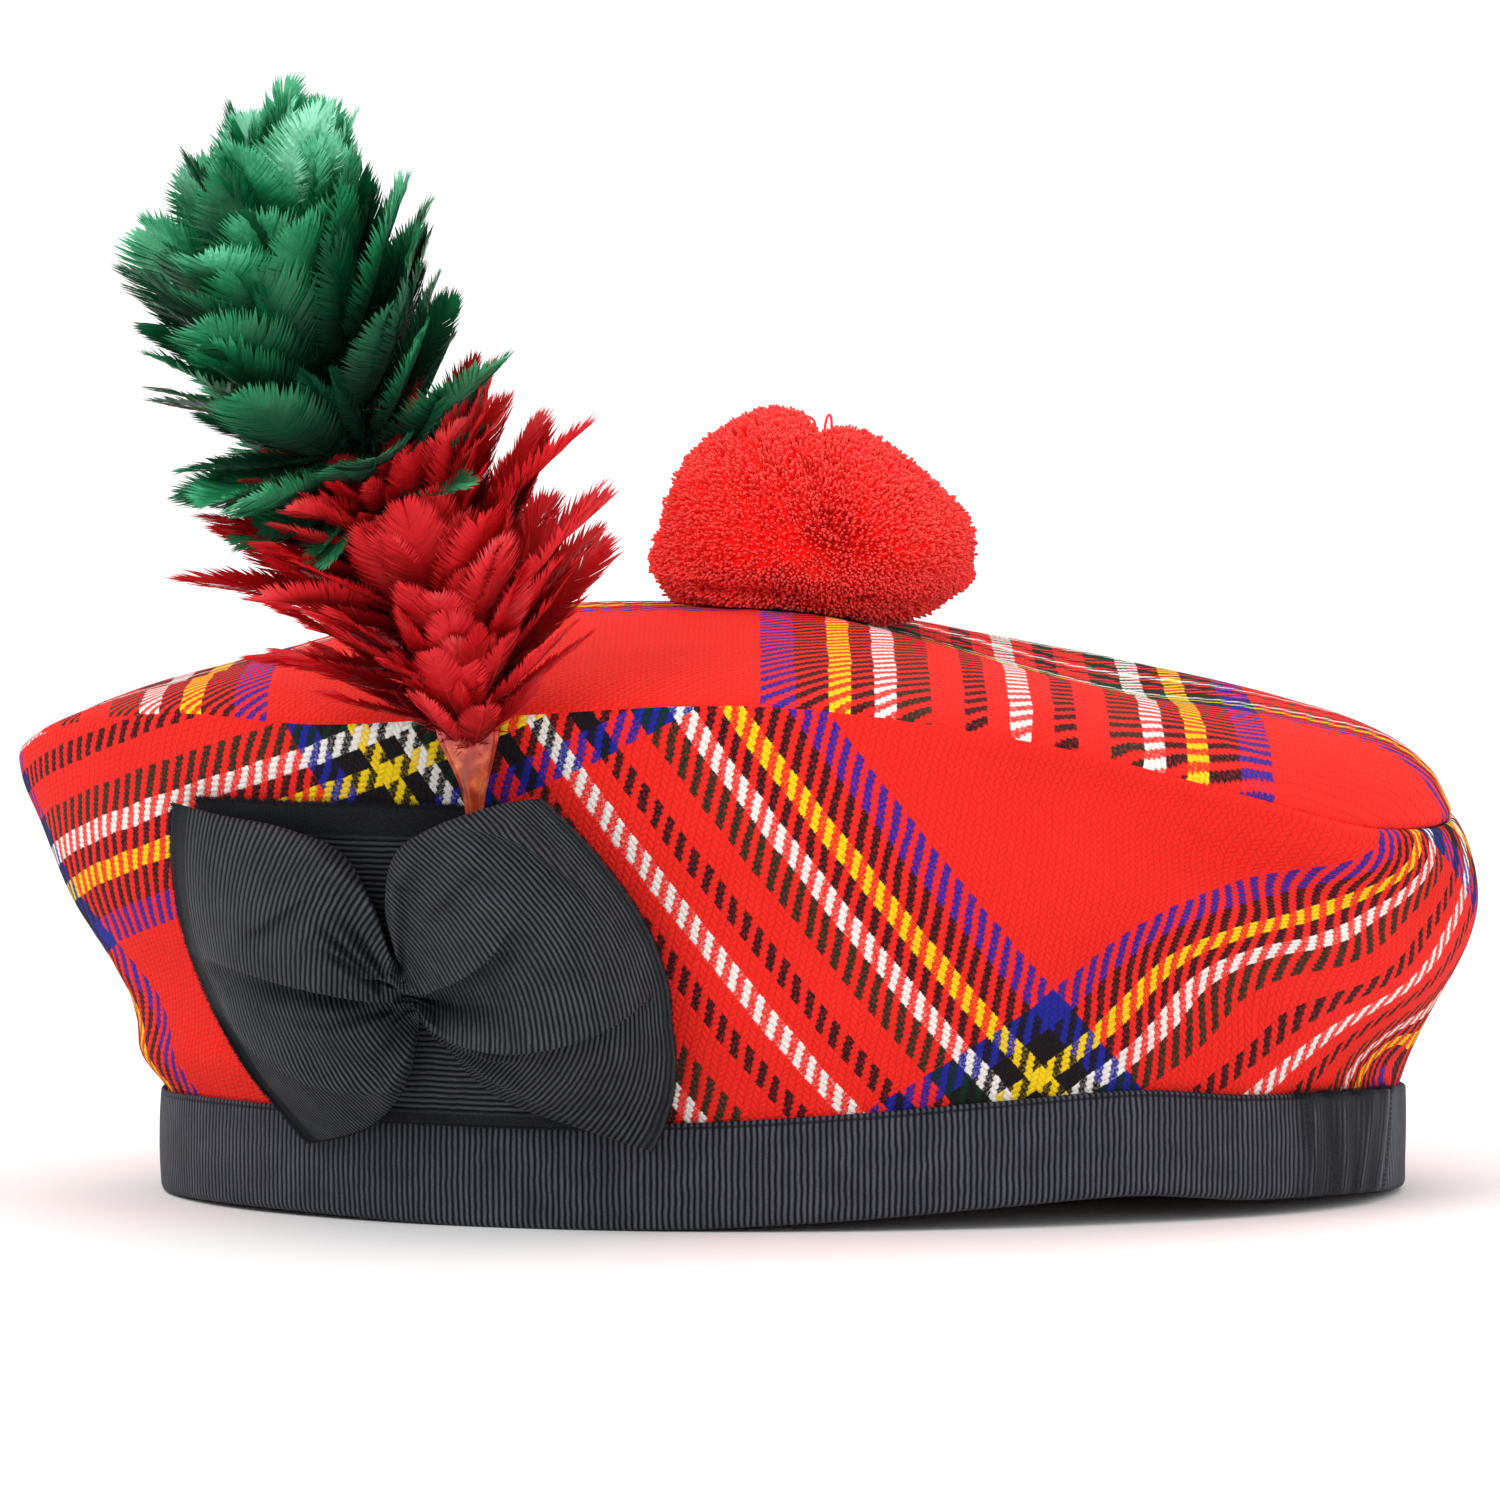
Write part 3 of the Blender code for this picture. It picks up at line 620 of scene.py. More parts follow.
# How far the twill's floats lean into its diagonal lines
WALE_SLANT = 0.72
TARTAN_RED = linear(250, 44, 36)
TARTAN_BLUE = linear(38, 42, 150)
TARTAN_BLACK = linear(30, 26, 30)
TARTAN_YELLOW = linear(252, 214, 32)
TARTAN_WHITE = linear(250, 246, 240)
TARTAN_GREEN = linear(24, 48, 36)
SETT = (
    # first thread, colour
    (0, TARTAN_RED), (44, TARTAN_BLUE), (50, TARTAN_BLACK), (56, TARTAN_YELLOW), (60, TARTAN_BLACK),
    (64, TARTAN_WHITE), (68, TARTAN_GREEN), (74, TARTAN_RED), (80, TARTAN_BLACK), (84, TARTAN_RED),
    (88, TARTAN_WHITE),
)


def tartan():
    """Twill of two threads over and two under, with its coloured stripes, counted in threads."""
    finish = Finish("tartan_wool", roughness=0.90, specular=0.06, sheen=0.04, tint=(1.0, 0.70, 0.65, 1.0))
    across, down = finish.cloth()
    where = finish.pair(across, down)
    drift = finish.stray(0.9, 0.11, 1.0, where)
    fuzz = finish.stray(0.8, 2.2, 3.0, where)
    across = across + drift + fuzz
    down = down - drift + fuzz
    column, row = math.floor(across), math.floor(down)
    slant, square = across - down, column - row
    step = (slant - square) * WALE_SLANT + square + finish.stray(1.3, 3.4, 3.0, where, 0.7)
    over = (step + 0.5) % 4.0 < 2.0
    wale = finish.math("FRACT", slant * 0.5 + 0.25)
    groove = finish.spread(abs(wale - 0.5), 0.28, 0.50, 0.0, 1.0)

    stops = [(first / HALF_SETT, colour) for first, colour in SETT]
    colours = []
    for thread in (column, row):
        place = finish.math("PINGPONG", thread + (HALF_SETT + 0.5), HALF_SETT) / HALF_SETT
        colours.append(finish.ramp(place, stops, "CONSTANT"))
    worn = finish.spread(finish.noise(1.7, 4.0, where, 0.75), 0.48, 0.74, 0.0, 0.55)
    upper = finish.mix(over, colours[1], colours[0])
    lower = finish.mix(over, colours[0], colours[1])
    colour = finish.mix(worn, upper, lower)

    heights = []
    for side, run in ((across, column - down), (down, across - row)):
        middle = finish.math("FRACT", side) * 2.0 - 1.0
        arc = abs(finish.wave(run % 4.0, 4.0))
        heights.append((1.0 - middle * middle) * (arc * 0.5 + 0.5))
    height = finish.mix_value(over, heights[1], heights[0]) * (1.0 - groove * 0.6)

    hairs = finish.noise(5.0, 3.0, where, 0.7)
    patches = finish.noise(0.035, 2.0, where)
    # Painted shade: the rounded sides of the threads and the grooves between the twill's wales are drawn
    # darker; hairs and patches vary the tone at random.
    shade = finish.spread(height, 0.0, 0.6, 0.84, 1.0) * (1.0 - groove * 0.12)
    shade = shade * finish.spread(hairs, 0.3, 0.7, 0.86, 1.22)
    shade = shade * finish.spread(patches, 0.3, 0.7, 0.95, 1.03)
    finish.set("Base Color", finish.mix(1.0, colour, shade, "MULTIPLY"))
    finish.bump(hairs * 0.70 + height, 0.26 * MM)
    finish.set("Roughness", finish.spread(hairs, 0.2, 0.8, 0.78, 0.95))
    return finish.material


# Seam between the top and the side: how far each cloth rolls in, over what width, and its puckers
SEAM_ROLL = 1.0 * MM
SEAM_WIDTH = 2.2 * MM
PUCKER = 0.28 * MM
PUCKER_REACH = 7 * MM
RIPPLE = 0.35 * MM

# Points along a curve of the hat that is measured
ARC_STEPS = 1441

CROWN_COLUMNS = 432
TOP_ROWS = 76
SIDE_ROWS = 64
INNER_ROWS = 20
# Rows of each outer face that lie close together at its seam
SEAM_ROWS = 14

# How the side's cloth lies: a fan of this radius at the headband, its grain turned and eased
CLOTH_RADIUS = 0.4458
CLOTH_MIDDLE = 0.036
CLOTH_TURN = 29.0
CLOTH_EASE = 1.086
CLOTH_ACROSS = -10.3
CLOTH_DOWN = 126.9

# How fast the threads run on under the headband, as a share of the cloth's length there
TUCKED_GRAIN = 0.7

# Where gathered cloth shifts the stripes: spreads in degrees and shares of the height, shifts
# in threads
GATHERS = (
    # angle, height, spread, height_spread, across, down
    (312, 0.42, 13, 0.20, 0.0, 12.1),
    (331, 0.92, 13, 0.20, 0.0, -16.9),
    (340, 0.08, 8, 0.20, 0.0, 17.2),
    (200, 0.22, 10, 0.30, -8.8, 0.0),
)

# The top's grain follows the hat: its white lines cross here, left of the middle of the headband
TOP_ACROSS = 0.040
TOP_DOWN = 0.022


def ripple(angle, share):
    """Slow, shallow unevenness of worn cloth, from -1 to 1."""
    turn = np.radians(angle)
    waves = np.sin(3 * turn + 5 * share) + np.sin(7 * turn - 9 * share + 1.3)
    waves += 0.7 * np.sin(13 * turn + 7 * share + 4.1) + 0.5 * np.sin(23 * turn - 12 * share + 2.2)
    return waves / 3.2


def pucker(angle):
    """Small gathers along the seam's stitches, from -1 to 1."""
    turn = np.radians(angle)
    waves = np.sin(61 * turn) + 0.8 * np.sin(89 * turn + 1.1) + 0.6 * np.sin(127 * turn + 2.7)
    return waves * (0.6 + 0.4 * np.sin(5 * turn + 0.7)) / 2.4


def seam_relief(angle, distance):
    """How far the cloth stands off its plain form near the seam, at distances from it."""
    inside = ease(distance, SEAM_WIDTH, -SEAM_WIDTH)
    roll = SEAM_ROLL * (1 - np.sqrt(1 - inside ** 2 * 0.999))
    return PUCKER * pucker(angle) * np.exp(-distance / PUCKER_REACH) - roll


def shell(outer, inner):
    """A closed wall from two grids of rings: out along the outer one and back along the inner one."""
    grid = np.concatenate((outer, inner[::-1]))
    faces = grid_quads(len(grid), grid.shape[1], closed=True)
    return grid.reshape(-1, 3), faces


def arc_from(curve, angles, start):
    """Length along a closed curve of the hat, from the angle where it starts."""
    fine = np.linspace(start - 180, start + 180, ARC_STEPS)
    lengths = lengths_along(curve(fine)[:, None], 0)[:, 0]
    lengths -= np.interp(start, fine, lengths)
    turned = np.mod(angles - start + 180, 360) - 180 + start
    return np.interp(turned, fine, lengths)


def side_cloth(angle, share, up):
    """Threads of the side's cloth, across and down, where up is the length from the headband."""
    near = angle >= 180
    arcs = []
    for curve in (neck, seam):
        arcs.append(np.where(near, arc_from(curve, angle, 270), arc_from(curve, angle, 90)))
    fan = (arcs[0] + arcs[1]) / 2 / (CLOTH_RADIUS + CLOTH_MIDDLE)
    radius = CLOTH_RADIUS + up * CLOTH_EASE
    x = radius * np.sin(fan)
    y = radius * np.cos(fan) - CLOTH_RADIUS
    turn = math.radians(CLOTH_TURN)
    across = (x * math.cos(turn) + y * math.sin(turn)) / THREAD + CLOTH_ACROSS
    down = (x * math.sin(turn) - y * math.cos(turn)) / THREAD + CLOTH_DOWN
    for place, height, spread, height_spread, shift_across, shift_down in GATHERS:
        far = (angle - place) / spread
        gather = near * bell(far) * bell((share - height) / height_spread)
        across = across + shift_across * gather
        down = down + shift_down * gather
    return np.stack((across, -down), axis=-1)


def crown_grid(start, close, rows):
    """Angles and shares of a crown face's points; its columns avoid the edges of the hat's halves."""
    angles = (np.arange(CROWN_COLUMNS) + 0.5) * 360 / CROWN_COLUMNS
    shares = (np.linspace(start, close, rows - SEAM_ROWS), np.linspace(close + 0.005, 1.0, SEAM_ROWS))
    return np.meshgrid(angles, np.concatenate(shares))


def wall(outer, normals, lift):
    """A cloth's outer face with its relief, and which of its rows its plainer inner face keeps."""
    rows = np.linspace(0, len(outer) - 1, INNER_ROWS).astype(int)
    return outer + normals * lift[..., None], (outer - normals * CLOTH)[rows], rows


def make_crown_side(finish):
    angle, share = crown_grid(0.0, 0.94, SIDE_ROWS)
    angles = angle[0]
    plain_face = side_face(angle, share)
    normals = -grid_normals(plain_face, closed=True)
    normals *= np.sign(np.sum(normals * unit(plain_face * (1, 1, 0)), axis=-1, keepdims=True))
    up = lengths_along(plain_face, 0)
    distance = up[-1] - up
    fade = np.minimum(1.0, share / 0.2) * np.minimum(1.0, distance / (8 * MM))
    lift = seam_relief(angle, distance) + RIPPLE * ripple(angle, share) * fade
    outer, inner, inner_rows = wall(plain_face, normals, lift)
    outer[-1, :, 2] -= GAP / 2
    foot = np.array((0.0, 0.0, 1.0)) * (arch(angles) + RIBBON + GAP)[:, None]
    outer = np.concatenate((neck(angles)[None] + foot, outer))
    inner = np.concatenate((neck(angles, CLOTH)[None] + foot, inner))
    verts, faces = shell(outer, inner)
    threads = side_cloth(angle, share, up)
    depth = (band_top(angles) - foot[:, 2]) / THREAD * TUCKED_GRAIN
    hidden = threads[:1] - np.stack((depth, -depth), axis=-1)[None]
    threads = np.concatenate((hidden, threads, threads[inner_rows][::-1], hidden)).reshape(-1, 2)
    corners = threads[faces.ravel()]
    add_piece("tartan_side", verts, faces.tolist(), finish, corners, "crown_side")


def make_crown_top(finish):
    angle, reach = crown_grid(0.004, 0.95, TOP_ROWS)
    plain_face = top_face(angle, reach)
    normals = grid_normals(plain_face, closed=True)
    normals *= np.sign(normals[..., 2:])
    out = lengths_along(plain_face, 0)
    distance = out[-1] - out
    fade = np.minimum(1.0, distance / (10 * MM)) * np.minimum(1.0, reach / 0.35)
    lift = seam_relief(angle, distance) + RIPPLE * ripple(angle + 40, reach) * fade
    threads = (plain_face[..., :2] - (TOP_ACROSS, TOP_DOWN)) / THREAD
    outer, inner, inner_rows = wall(plain_face, normals, lift)
    outer[-1, :, 2] += GAP / 2
    verts, faces = shell(outer, inner)
    threads = np.concatenate((threads, threads[inner_rows][::-1])).reshape(-1, 2)
    add_piece("tartan_top", verts, faces.tolist(), finish, threads[faces.ravel()], "crown_top")


# Grosgrain: the pitch of its ribs on the headband and on the cockade
BAND_RIB = 1.08 * MM
BOW_RIB = 1.02 * MM
HEM = 0.9 * MM
STITCH = 0.9
# In mm from the ribbon's end: its selvage before it, the line of stitches beyond it, and the
# strip of slanted threads that shows there, drawn lighter as painted light, with the lengths of its slant
# along and up
SELVAGE = 1.4
STITCH_LINE = 2.8
STRIP_FROM, STRIP_TO = 8.0, 14.0
SLANT_ALONG, SLANT_UP = 1.9, 3.2
# The tone map's second value where no ribbon's end is near, and where that value is cut off
FAR = 20.0
NEAR = -5.0

BAND_COLUMNS = 900
CRUMPLE_COLUMNS = 120
# Where round the headband its ribs are counted from
RIBS_FROM = 160.5
BAND_LEAN = 3.4
CRUMPLE_FROM = 321.5
CRUMPLES = (
    # angle, spread, rise in mm, lean in degrees from the foot to the top
    (325.3, 1.5, 0.62, 0.8),
    (330.6, 1.3, 0.55, -0.6),
    (334.9, 1.0, 0.48, 1.0),
    (339.2, 1.4, 0.40, -0.5),
    (322.9, 1.2, -0.30, 0.5),
    (328.0, 1.1, -0.34, 0.6),
    (332.9, 0.8, -0.34, -0.9),
)


def band_edges(finish, across_mm, beyond, shade, rib):
    """The headband's line under its folded edge, drawn darker as painted shade, and its looks on both sides
    of the ribbon's end: painted shadow along the end, stitches, a selvage and a strip drawn lighter as
    painted light.
    """
    # Painted shade: a darker line in the groove under the folded hem.
    groove = finish.spread(abs(across_mm - (BAND_HEIGHT - HEM) / MM), 0.10, 0.34, 0.25, 1.0)
    near_stitches = finish.spread(abs(beyond - STITCH_LINE), 0.60, 1.10, 1.0, 0.0)
    hole = near_stitches * finish.spread(finish.wave(across_mm, STITCH), -0.6, 0.2, 0.55, 1.0)
    # Painted shadow: darker along the ribbon's proud end, with darker stitch holes beyond it.
    edge = finish.spread(abs(beyond), 0.50, 1.00, 0.0, 1.0) * (1.0 - hole)
    selvage = finish.spread(abs(beyond + SELVAGE), 0.35, 0.70, 0.75, 0.0)
    # Painted light: the strip of slanted threads beyond the ribbon's end is drawn lighter.
    slant = finish.wave(beyond * (1 / SLANT_ALONG) + across_mm * (1 / SLANT_UP))
    strip = finish.spread(beyond, 0.5, 1.0, 0.0, 1.0) * finish.spread(beyond, STRIP_FROM, STRIP_TO, 1.0, 0.0)
    strip = strip * finish.spread(slant, -1.0, 1.0, 0.30, 0.85)
    shade = finish.larger(shade * groove, finish.larger(selvage, strip)) * edge
    return shade, rib * groove * edge


def grosgrain(name, light, dark, hem=False):
    """Black ribbon with ribs across it, their crests drawn lighter and the grooves between them darker as
    painted light; the map counts ribs along it and millimetres across it.
    The tone map's first value turns ribs into plain felted cloth; along the crests of the headband's crumples
    it drops away, and the ribs there show as painted highlights."""
    finish = Finish(name, roughness=0.6, specular=0.12, sheen=0.02)
    along_ribs, across_mm = finish.cloth()
    felted, beyond = finish.cloth("tone")
    where = finish.pair(along_ribs, across_mm)
    wave = abs(finish.wave(along_ribs + finish.stray(0.6, 0.22, 2.0, where), 2.0))
    threads = finish.noise(1.6, 3.0, finish.pair(along_ribs * 1.4, across_mm * 4.5), 0.65)
    worn = finish.noise(0.16, 3.0, where)
    fuzz = finish.noise(3.2, 3.0, where, 0.7)
    # Painted light: rib crests drawn lighter and the grooves between ribs darker; threads and worn vary the
    # tone at random.
    shade = finish.spread(wave, 0.25, 1.0, 0.0, 1.0) ** 1.7
    shade = shade * finish.spread(threads, 0.32, 0.68, 0.45, 1.15) * finish.spread(worn, 0.3, 0.7, 0.72, 1.12)
    rib = wave ** 0.6
    if hem:
        shade, rib = band_edges(finish, across_mm, beyond, shade, rib)
    shade = finish.mix_value(felted, shade, finish.spread(fuzz, 0.35, 0.8, 0.0, 0.35))
    rib = finish.mix_value(felted, rib, fuzz)
    finish.set("Base Color", finish.ramp(shade, ((0.0, dark), (0.95, light))))
    finish.set("Roughness", finish.spread(threads, 0.2, 0.8, 0.48, 0.74))
    finish.bump(threads * 0.3 + rib, 0.26 * MM)
    return finish.material


def lap_step(angle):
    """The ribbon's outer end stands proud at the lap and settles over the next quarter turn."""
    behind = np.mod(LAP_ANGLE - angle, 360.0)
    return LAP_STEP * np.maximum(0.0, 1.0 - behind / 90.0)


def band_relief(angle, height):
    """Puff and folds of the ribbon's outer face, for heights as shares of the headband's own."""
    puff = 0.35 * MM * np.sin(math.pi * np.clip(height, 0.0, 1.0)) ** 0.7
    worn = 0.22 * MM * ripple(angle + 90, height * 0.3)
    folds = 0.0
    for place, spread, rise, lean in CRUMPLES:
        turn = (angle - place - lean * (height - 0.5)) / spread
        folds = folds + rise * MM * bell(turn) * (0.75 + 0.25 * np.cos(height * 5 + place))
    inside = ease(angle, CRUMPLE_FROM - 3, 3) * ease(angle, LAP_ANGLE, -0.6)
    return puff + worn * ease(height, 0, 0.25) + folds * inside


def band_felt_and_painted_highlights(angle, height):
    """How far the crumpled ribbon by the closure looks like plain felted cloth, from 0 to 1; along the crests
    of its folds that look gives way to ribs drawn as painted highlights.
    """
    inside = ease(angle, CRUMPLE_FROM + 0.5, 2.5) * ease(angle, LAP_ANGLE - 1.3, -0.3)
    felt_between_highlights = 0.80 + 0.20 * np.sin(angle * 1.7 + 4 * height)
    # Painted highlights: along each outward fold's crest the felted look gives way to brighter ribs.
    for place, _, rise, lean in CRUMPLES:
        if rise > 0:
            felt_between_highlights = felt_between_highlights * (1 - bell((angle - place - lean * (height - 0.5)) / 0.32))
    return inside * np.maximum(felt_between_highlights, ease(height, 0.86, 0.03))


def band_profile():
    """The folded ribbon's outline, from its outer top edge down, under the cloth, up inside and back:
    how far in it lies, its height as a share of the headband's, and whether it is the outer face."""
    leg = RIBBON + GAP
    heights = (0.985, 0.96, 0.93, 0.88, 0.8, 0.7, 0.6, 0.5, 0.4, 0.3, 0.2, 0.12, 0.06)
    return (
        [(-leg + 0.25 * MM, 1.0, 0.0)] + [(-leg, height, 1.0) for height in heights]
        + [(-leg + RIBBON / 3, 0.02, 1.0), (-leg + RIBBON, 0.0, 0.0), (CLOTH + leg - RIBBON, 0.0, 0.0)]
        + [(CLOTH + leg, height, 0.0) for height in (0.04, 0.5, 1.0)]
        + [(CLOTH + GAP, height, 0.0) for height in (1.0, 0.06)]
        + [(-GAP, height, 0.0) for height in (0.06, 0.5, 0.98)]
    )


def band_angles():
    """Columns round the headband, closer together in its crumpled part and at the ribbon's end."""
    even = np.arange(BAND_COLUMNS) * 360 / BAND_COLUMNS
    even = even[(even < CRUMPLE_FROM - 0.2) | (even > LAP_ANGLE + 0.3)]
    close = np.linspace(CRUMPLE_FROM, LAP_ANGLE - 0.02, CRUMPLE_COLUMNS)
    return np.sort(np.concatenate((even, close, (LAP_ANGLE, LAP_ANGLE + 0.12))))


def make_headband(finish):
    angles = band_angles()
    profile = band_profile()

    def outside(turn):
        return neck(turn, -(RIBBON + GAP))

    ribs = arc_from(outside, angles, RIBS_FROM) / BAND_RIB
    beyond = np.clip(arc_from(outside, angles, LAP_ANGLE) / MM, NEAR, FAR)
    near_lap = bell((angles - LAP_ANGLE) / 7.0)
    skew = np.where((angles > LAP_ANGLE) & (angles < 359), 0.35, 0.0) * BAND_HEIGHT / BAND_RIB
    rows, maps = [], []
    run = 0.0
    before = profile[0]
    for inset, height, outer in profile:
        turned = angles + BAND_LEAN * near_lap * (height if outer else 0.5)
        off = (lap_step(angles) + band_relief(angles, height)) * outer
        place = neck(turned, inset - off)
        place[..., 2] = arch(turned) + height * BAND_HEIGHT
        rows.append(place)
        run += abs(height - before[1]) * BAND_HEIGHT + abs(inset - before[0])
        up = height * BAND_HEIGHT / MM if outer or not maps else -run / MM
        felt_between_highlights = band_felt_and_painted_highlights(angles, height) * outer
        values = (ribs + skew * height, up, felt_between_highlights, beyond if outer else FAR)
        maps.append(np.stack(np.broadcast_arrays(*values), axis=-1))
        before = (inset, height)
    faces = grid_quads(len(profile), len(angles), closed=True, looped=True)
    corners = np.array(maps).reshape(-1, 4)[faces]
    wraps = np.ptp(corners[..., 0], axis=1) > 100
    corners[..., 0] += (wraps[:, None] & (corners[..., 0] < 0)) * band_round() / BAND_RIB
    corners[np.ptp(corners[..., 3], axis=1) > 15, :, 3] = FAR
    add_piece("headband_ribbon", np.concatenate(rows), faces.tolist(), finish, corners.reshape(-1, 4),
              "headband")


def band_round():
    """Length round the headband's outer face."""
    return lengths_along(neck(np.linspace(0, 360, ARC_STEPS), -(RIBBON + GAP))[:, None], 0)[-1, 0]


# Folds of the bow: each numbered line runs through its rows, and stands or sinks by its rise,
# falling off over one width above the line and over another below it; a fold laps over what
# lies below it. All four are in mm.
FOLDS = (
    # fold, along, share, above, below, rise, lap
    (1, -0.80, 1.00, 3.0, 3.0, 0.0, 0.0),
    (1, -0.60, 1.00, 3.0, 3.2, 2.6, 0.0),
    (1, -0.30, 1.00, 2.0, 3.0, 4.4, 0.0),
    (1, -0.06, 0.98, 1.5, 1.8, 2.6, 0.0),
    (2, -0.94, 0.58, 3.0, 0.9, 0.0, 0.0),
    (2, -0.82, 0.57, 3.2, 0.7, 2.2, 0.8),
    (2, -0.50, 0.52, 3.2, 0.5, 3.6, 2.0),
    (2, -0.24, 0.51, 2.2, 0.4, 3.8, 1.8),
    (2, -0.04, 0.47, 1.2, 0.4, 3.0, 0.8),
    (3, -0.90, 0.46, 3.0, 0.8, 0.0, 0.0),
    (3, -0.88, 0.34, 3.5, 0.6, 2.2, 1.2),
    (3, -0.72, 0.23, 3.5, 0.6, 3.0, 1.8),
    (3, -0.52, 0.12, 3.0, 0.7, 2.8, 1.4),
    (3, -0.40, 0.05, 3.0, 1.2, 0.6, 0.0),
    (4, -0.58, 0.00, 2.8, 2.0, 0.6, 0.0),
    (4, -0.36, 0.03, 2.8, 2.0, 3.6, 0.0),
    (4, -0.18, 0.03, 2.2, 1.5, 3.4, 0.0),
    (4, -0.05, 0.02, 1.5, 1.5, 1.4, 0.0),
    (5, -0.72, 0.62, 1.4, 2.2, 0.0, 0.0),
    (5, -0.60, 0.67, 1.0, 2.2, -1.5, 0.0),
    (5, -0.50, 0.76, 1.0, 2.2, -1.2, 0.0),
    (5, -0.42, 0.84, 1.2, 2.0, 0.0, 0.0),
    (6, -0.44, 0.75, 0.7, 0.7, 0.0, 0.0),
    (6, -0.30, 0.72, 0.6, 0.8, -1.8, 0.0),
    (6, -0.10, 0.64, 0.5, 0.6, -1.6, 0.0),
    (7, -0.40, 0.66, 0.6, 0.6, 0.0, 0.0),
    (7, -0.28, 0.65, 0.6, 0.7, -1.6, 0.0),
    (7, -0.10, 0.58, 0.5, 0.5, -1.3, 0.0),
    (8, -0.36, 0.84, 0.8, 0.8, 0.0, 0.0),
    (8, -0.24, 0.81, 0.7, 0.8, -1.6, 0.0),
    (8, -0.08, 0.74, 0.5, 0.5, -1.4, 0.0),
    (9, -0.74, 0.40, 1.6, 1.6, 0.0, 0.0),
    (9, -0.40, 0.34, 1.5, 1.5, -1.1, 0.0),
    (9, -0.10, 0.32, 0.8, 0.8, -1.2, 0.0),
    (10, 0.10, 0.98, 1.8, 2.0, 2.4, 0.0),
    (10, 0.34, 0.99, 2.6, 3.4, 4.4, 0.0),
    (10, 0.56, 1.00, 3.0, 3.4, 2.8, 0.0),
    (10, 0.80, 1.00, 3.0, 3.0, 0.6, 0.0),
    (11, -0.02, 0.73, 1.5, 0.4, 3.2, 0.8),
    (11, 0.14, 0.69, 2.8, 0.4, 4.5, 2.0),
    (11, 0.30, 0.68, 3.6, 0.5, 4.5, 2.4),
    (11, 0.46, 0.69, 3.6, 0.9, 2.8, 1.2),
    (11, 0.62, 0.76, 3.0, 1.6, 0.0, 0.0),
    (12, 0.04, 0.20, 1.2, 0.4, 3.0, 0.6),
    (12, 0.18, 0.25, 2.8, 0.5, 4.2, 1.8),
    (12, 0.40, 0.32, 4.2, 0.5, 5.0, 2.8),
    (12, 0.64, 0.40, 4.6, 0.5, 4.8, 3.0),
    (12, 0.81, 0.44, 4.0, 0.6, 3.5, 2.2),
    (12, 0.92, 0.49, 3.0, 0.9, 1.5, 0.8),
    (12, 0.97, 0.54, 2.0, 1.0, 0.0, 0.0),
    (13, 0.10, 0.11, 1.0, 0.6, 1.0, 0.4),
    (13, 0.24, 0.15, 1.4, 0.4, 2.0, 1.0),
    (13, 0.38, 0.18, 1.4, 0.4, 1.8, 1.0),
    (13, 0.50, 0.20, 1.2, 0.8, 0.0, 0.0),
    (14, 0.14, 0.02, 1.2, 1.0, 0.8, 0.0),
    (14, 0.36, 0.07, 1.4, 0.8, 1.8, 0.6),
    (14, 0.56, 0.08, 1.8, 0.9, 1.5, 0.5),
    (14, 0.82, 0.03, 2.0, 1.6, 0.6, 0.0),
    (15, 0.68, 1.00, 1.6, 1.6, 0.2, 0.0),
    (15, 0.82, 0.93, 1.3, 2.0, 2.0, 0.6),
    (15, 0.89, 0.82, 1.3, 2.0, 1.8, 0.5),
    (15, 0.92, 0.68, 1.8, 1.8, 0.0, 0.0),
    (16, 0.18, 0.82, 1.5, 1.8, 0.0, 0.0),
    (16, 0.40, 0.83, 1.8, 2.0, -1.3, 0.0),
    (16, 0.66, 0.88, 1.8, 1.8, -1.1, 0.0),
    (16, 0.76, 0.96, 1.6, 1.6, 0.0, 0.0),
    (17, 0.08, 0.50, 1.2, 1.2, -1.1, 0.0),
    (17, 0.30, 0.48, 1.6, 1.8, -1.0, 0.0),
    (17, 0.54, 0.52, 1.8, 1.8, 0.0, 0.0),
    (18, 0.962, 0.00, 0.5, 0.4, -0.4, 0.0),
    (18, 0.962, 1.00, 0.5, 0.4, -0.4, 0.0),
)
# Where the left wing's crease ends, along the bow, and how soon
CREASE_END = 0.05
CREASE_FADE = 0.08
# Points of the bow's and the backing's faces, and how few of them their hidden backs keep
BOW_ACROSS = 401
BOW_UP = 193
BACK_STEP = 8
PATCH_ACROSS = 120
PATCH_UP = 110
# Hollow under a fold that laps over: its depth as a share of the fold's rise, and its width in mm
VALLEY = 0.75
VALLEY_WIDTH = 2.0
LAP_EDGE = 0.55
FOLD_STEPS = 21
FOLD_WEIGHTS = (0.12, 0.24, 0.28, 0.24, 0.12)
FOLD_RELIEF = 1.12
# How much rounder the right wing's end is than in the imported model
WING_BULGE = 2.2 * MM
WING_CORNER = 1.0 * MM
# Pleats across the ribbon at the knot, and how far along the bow they reach
PLEATS = 7
PLEAT_REACH = 0.13
# Felted cloth: beyond these places along the bow, and above and below these shares of the backing
RAW_EDGE = -0.945
EDGE_BAND = 0.965
RAW_WIDTH = 0.012
FELT_FROM = 0.895
FELT_HEM = 0.045
FELT_WIDTH = 0.02
PATCH_TUCK = 0.4 * MM
PATCH_FOOT = BAND_HEIGHT - PATCH_TUCK
PATCH_HEAD = KNOT_HEIGHT + BOW_RISE * BACKING_HEAD
PATCH_OUT = SOFT_GAP + BACKING_THICKNESS


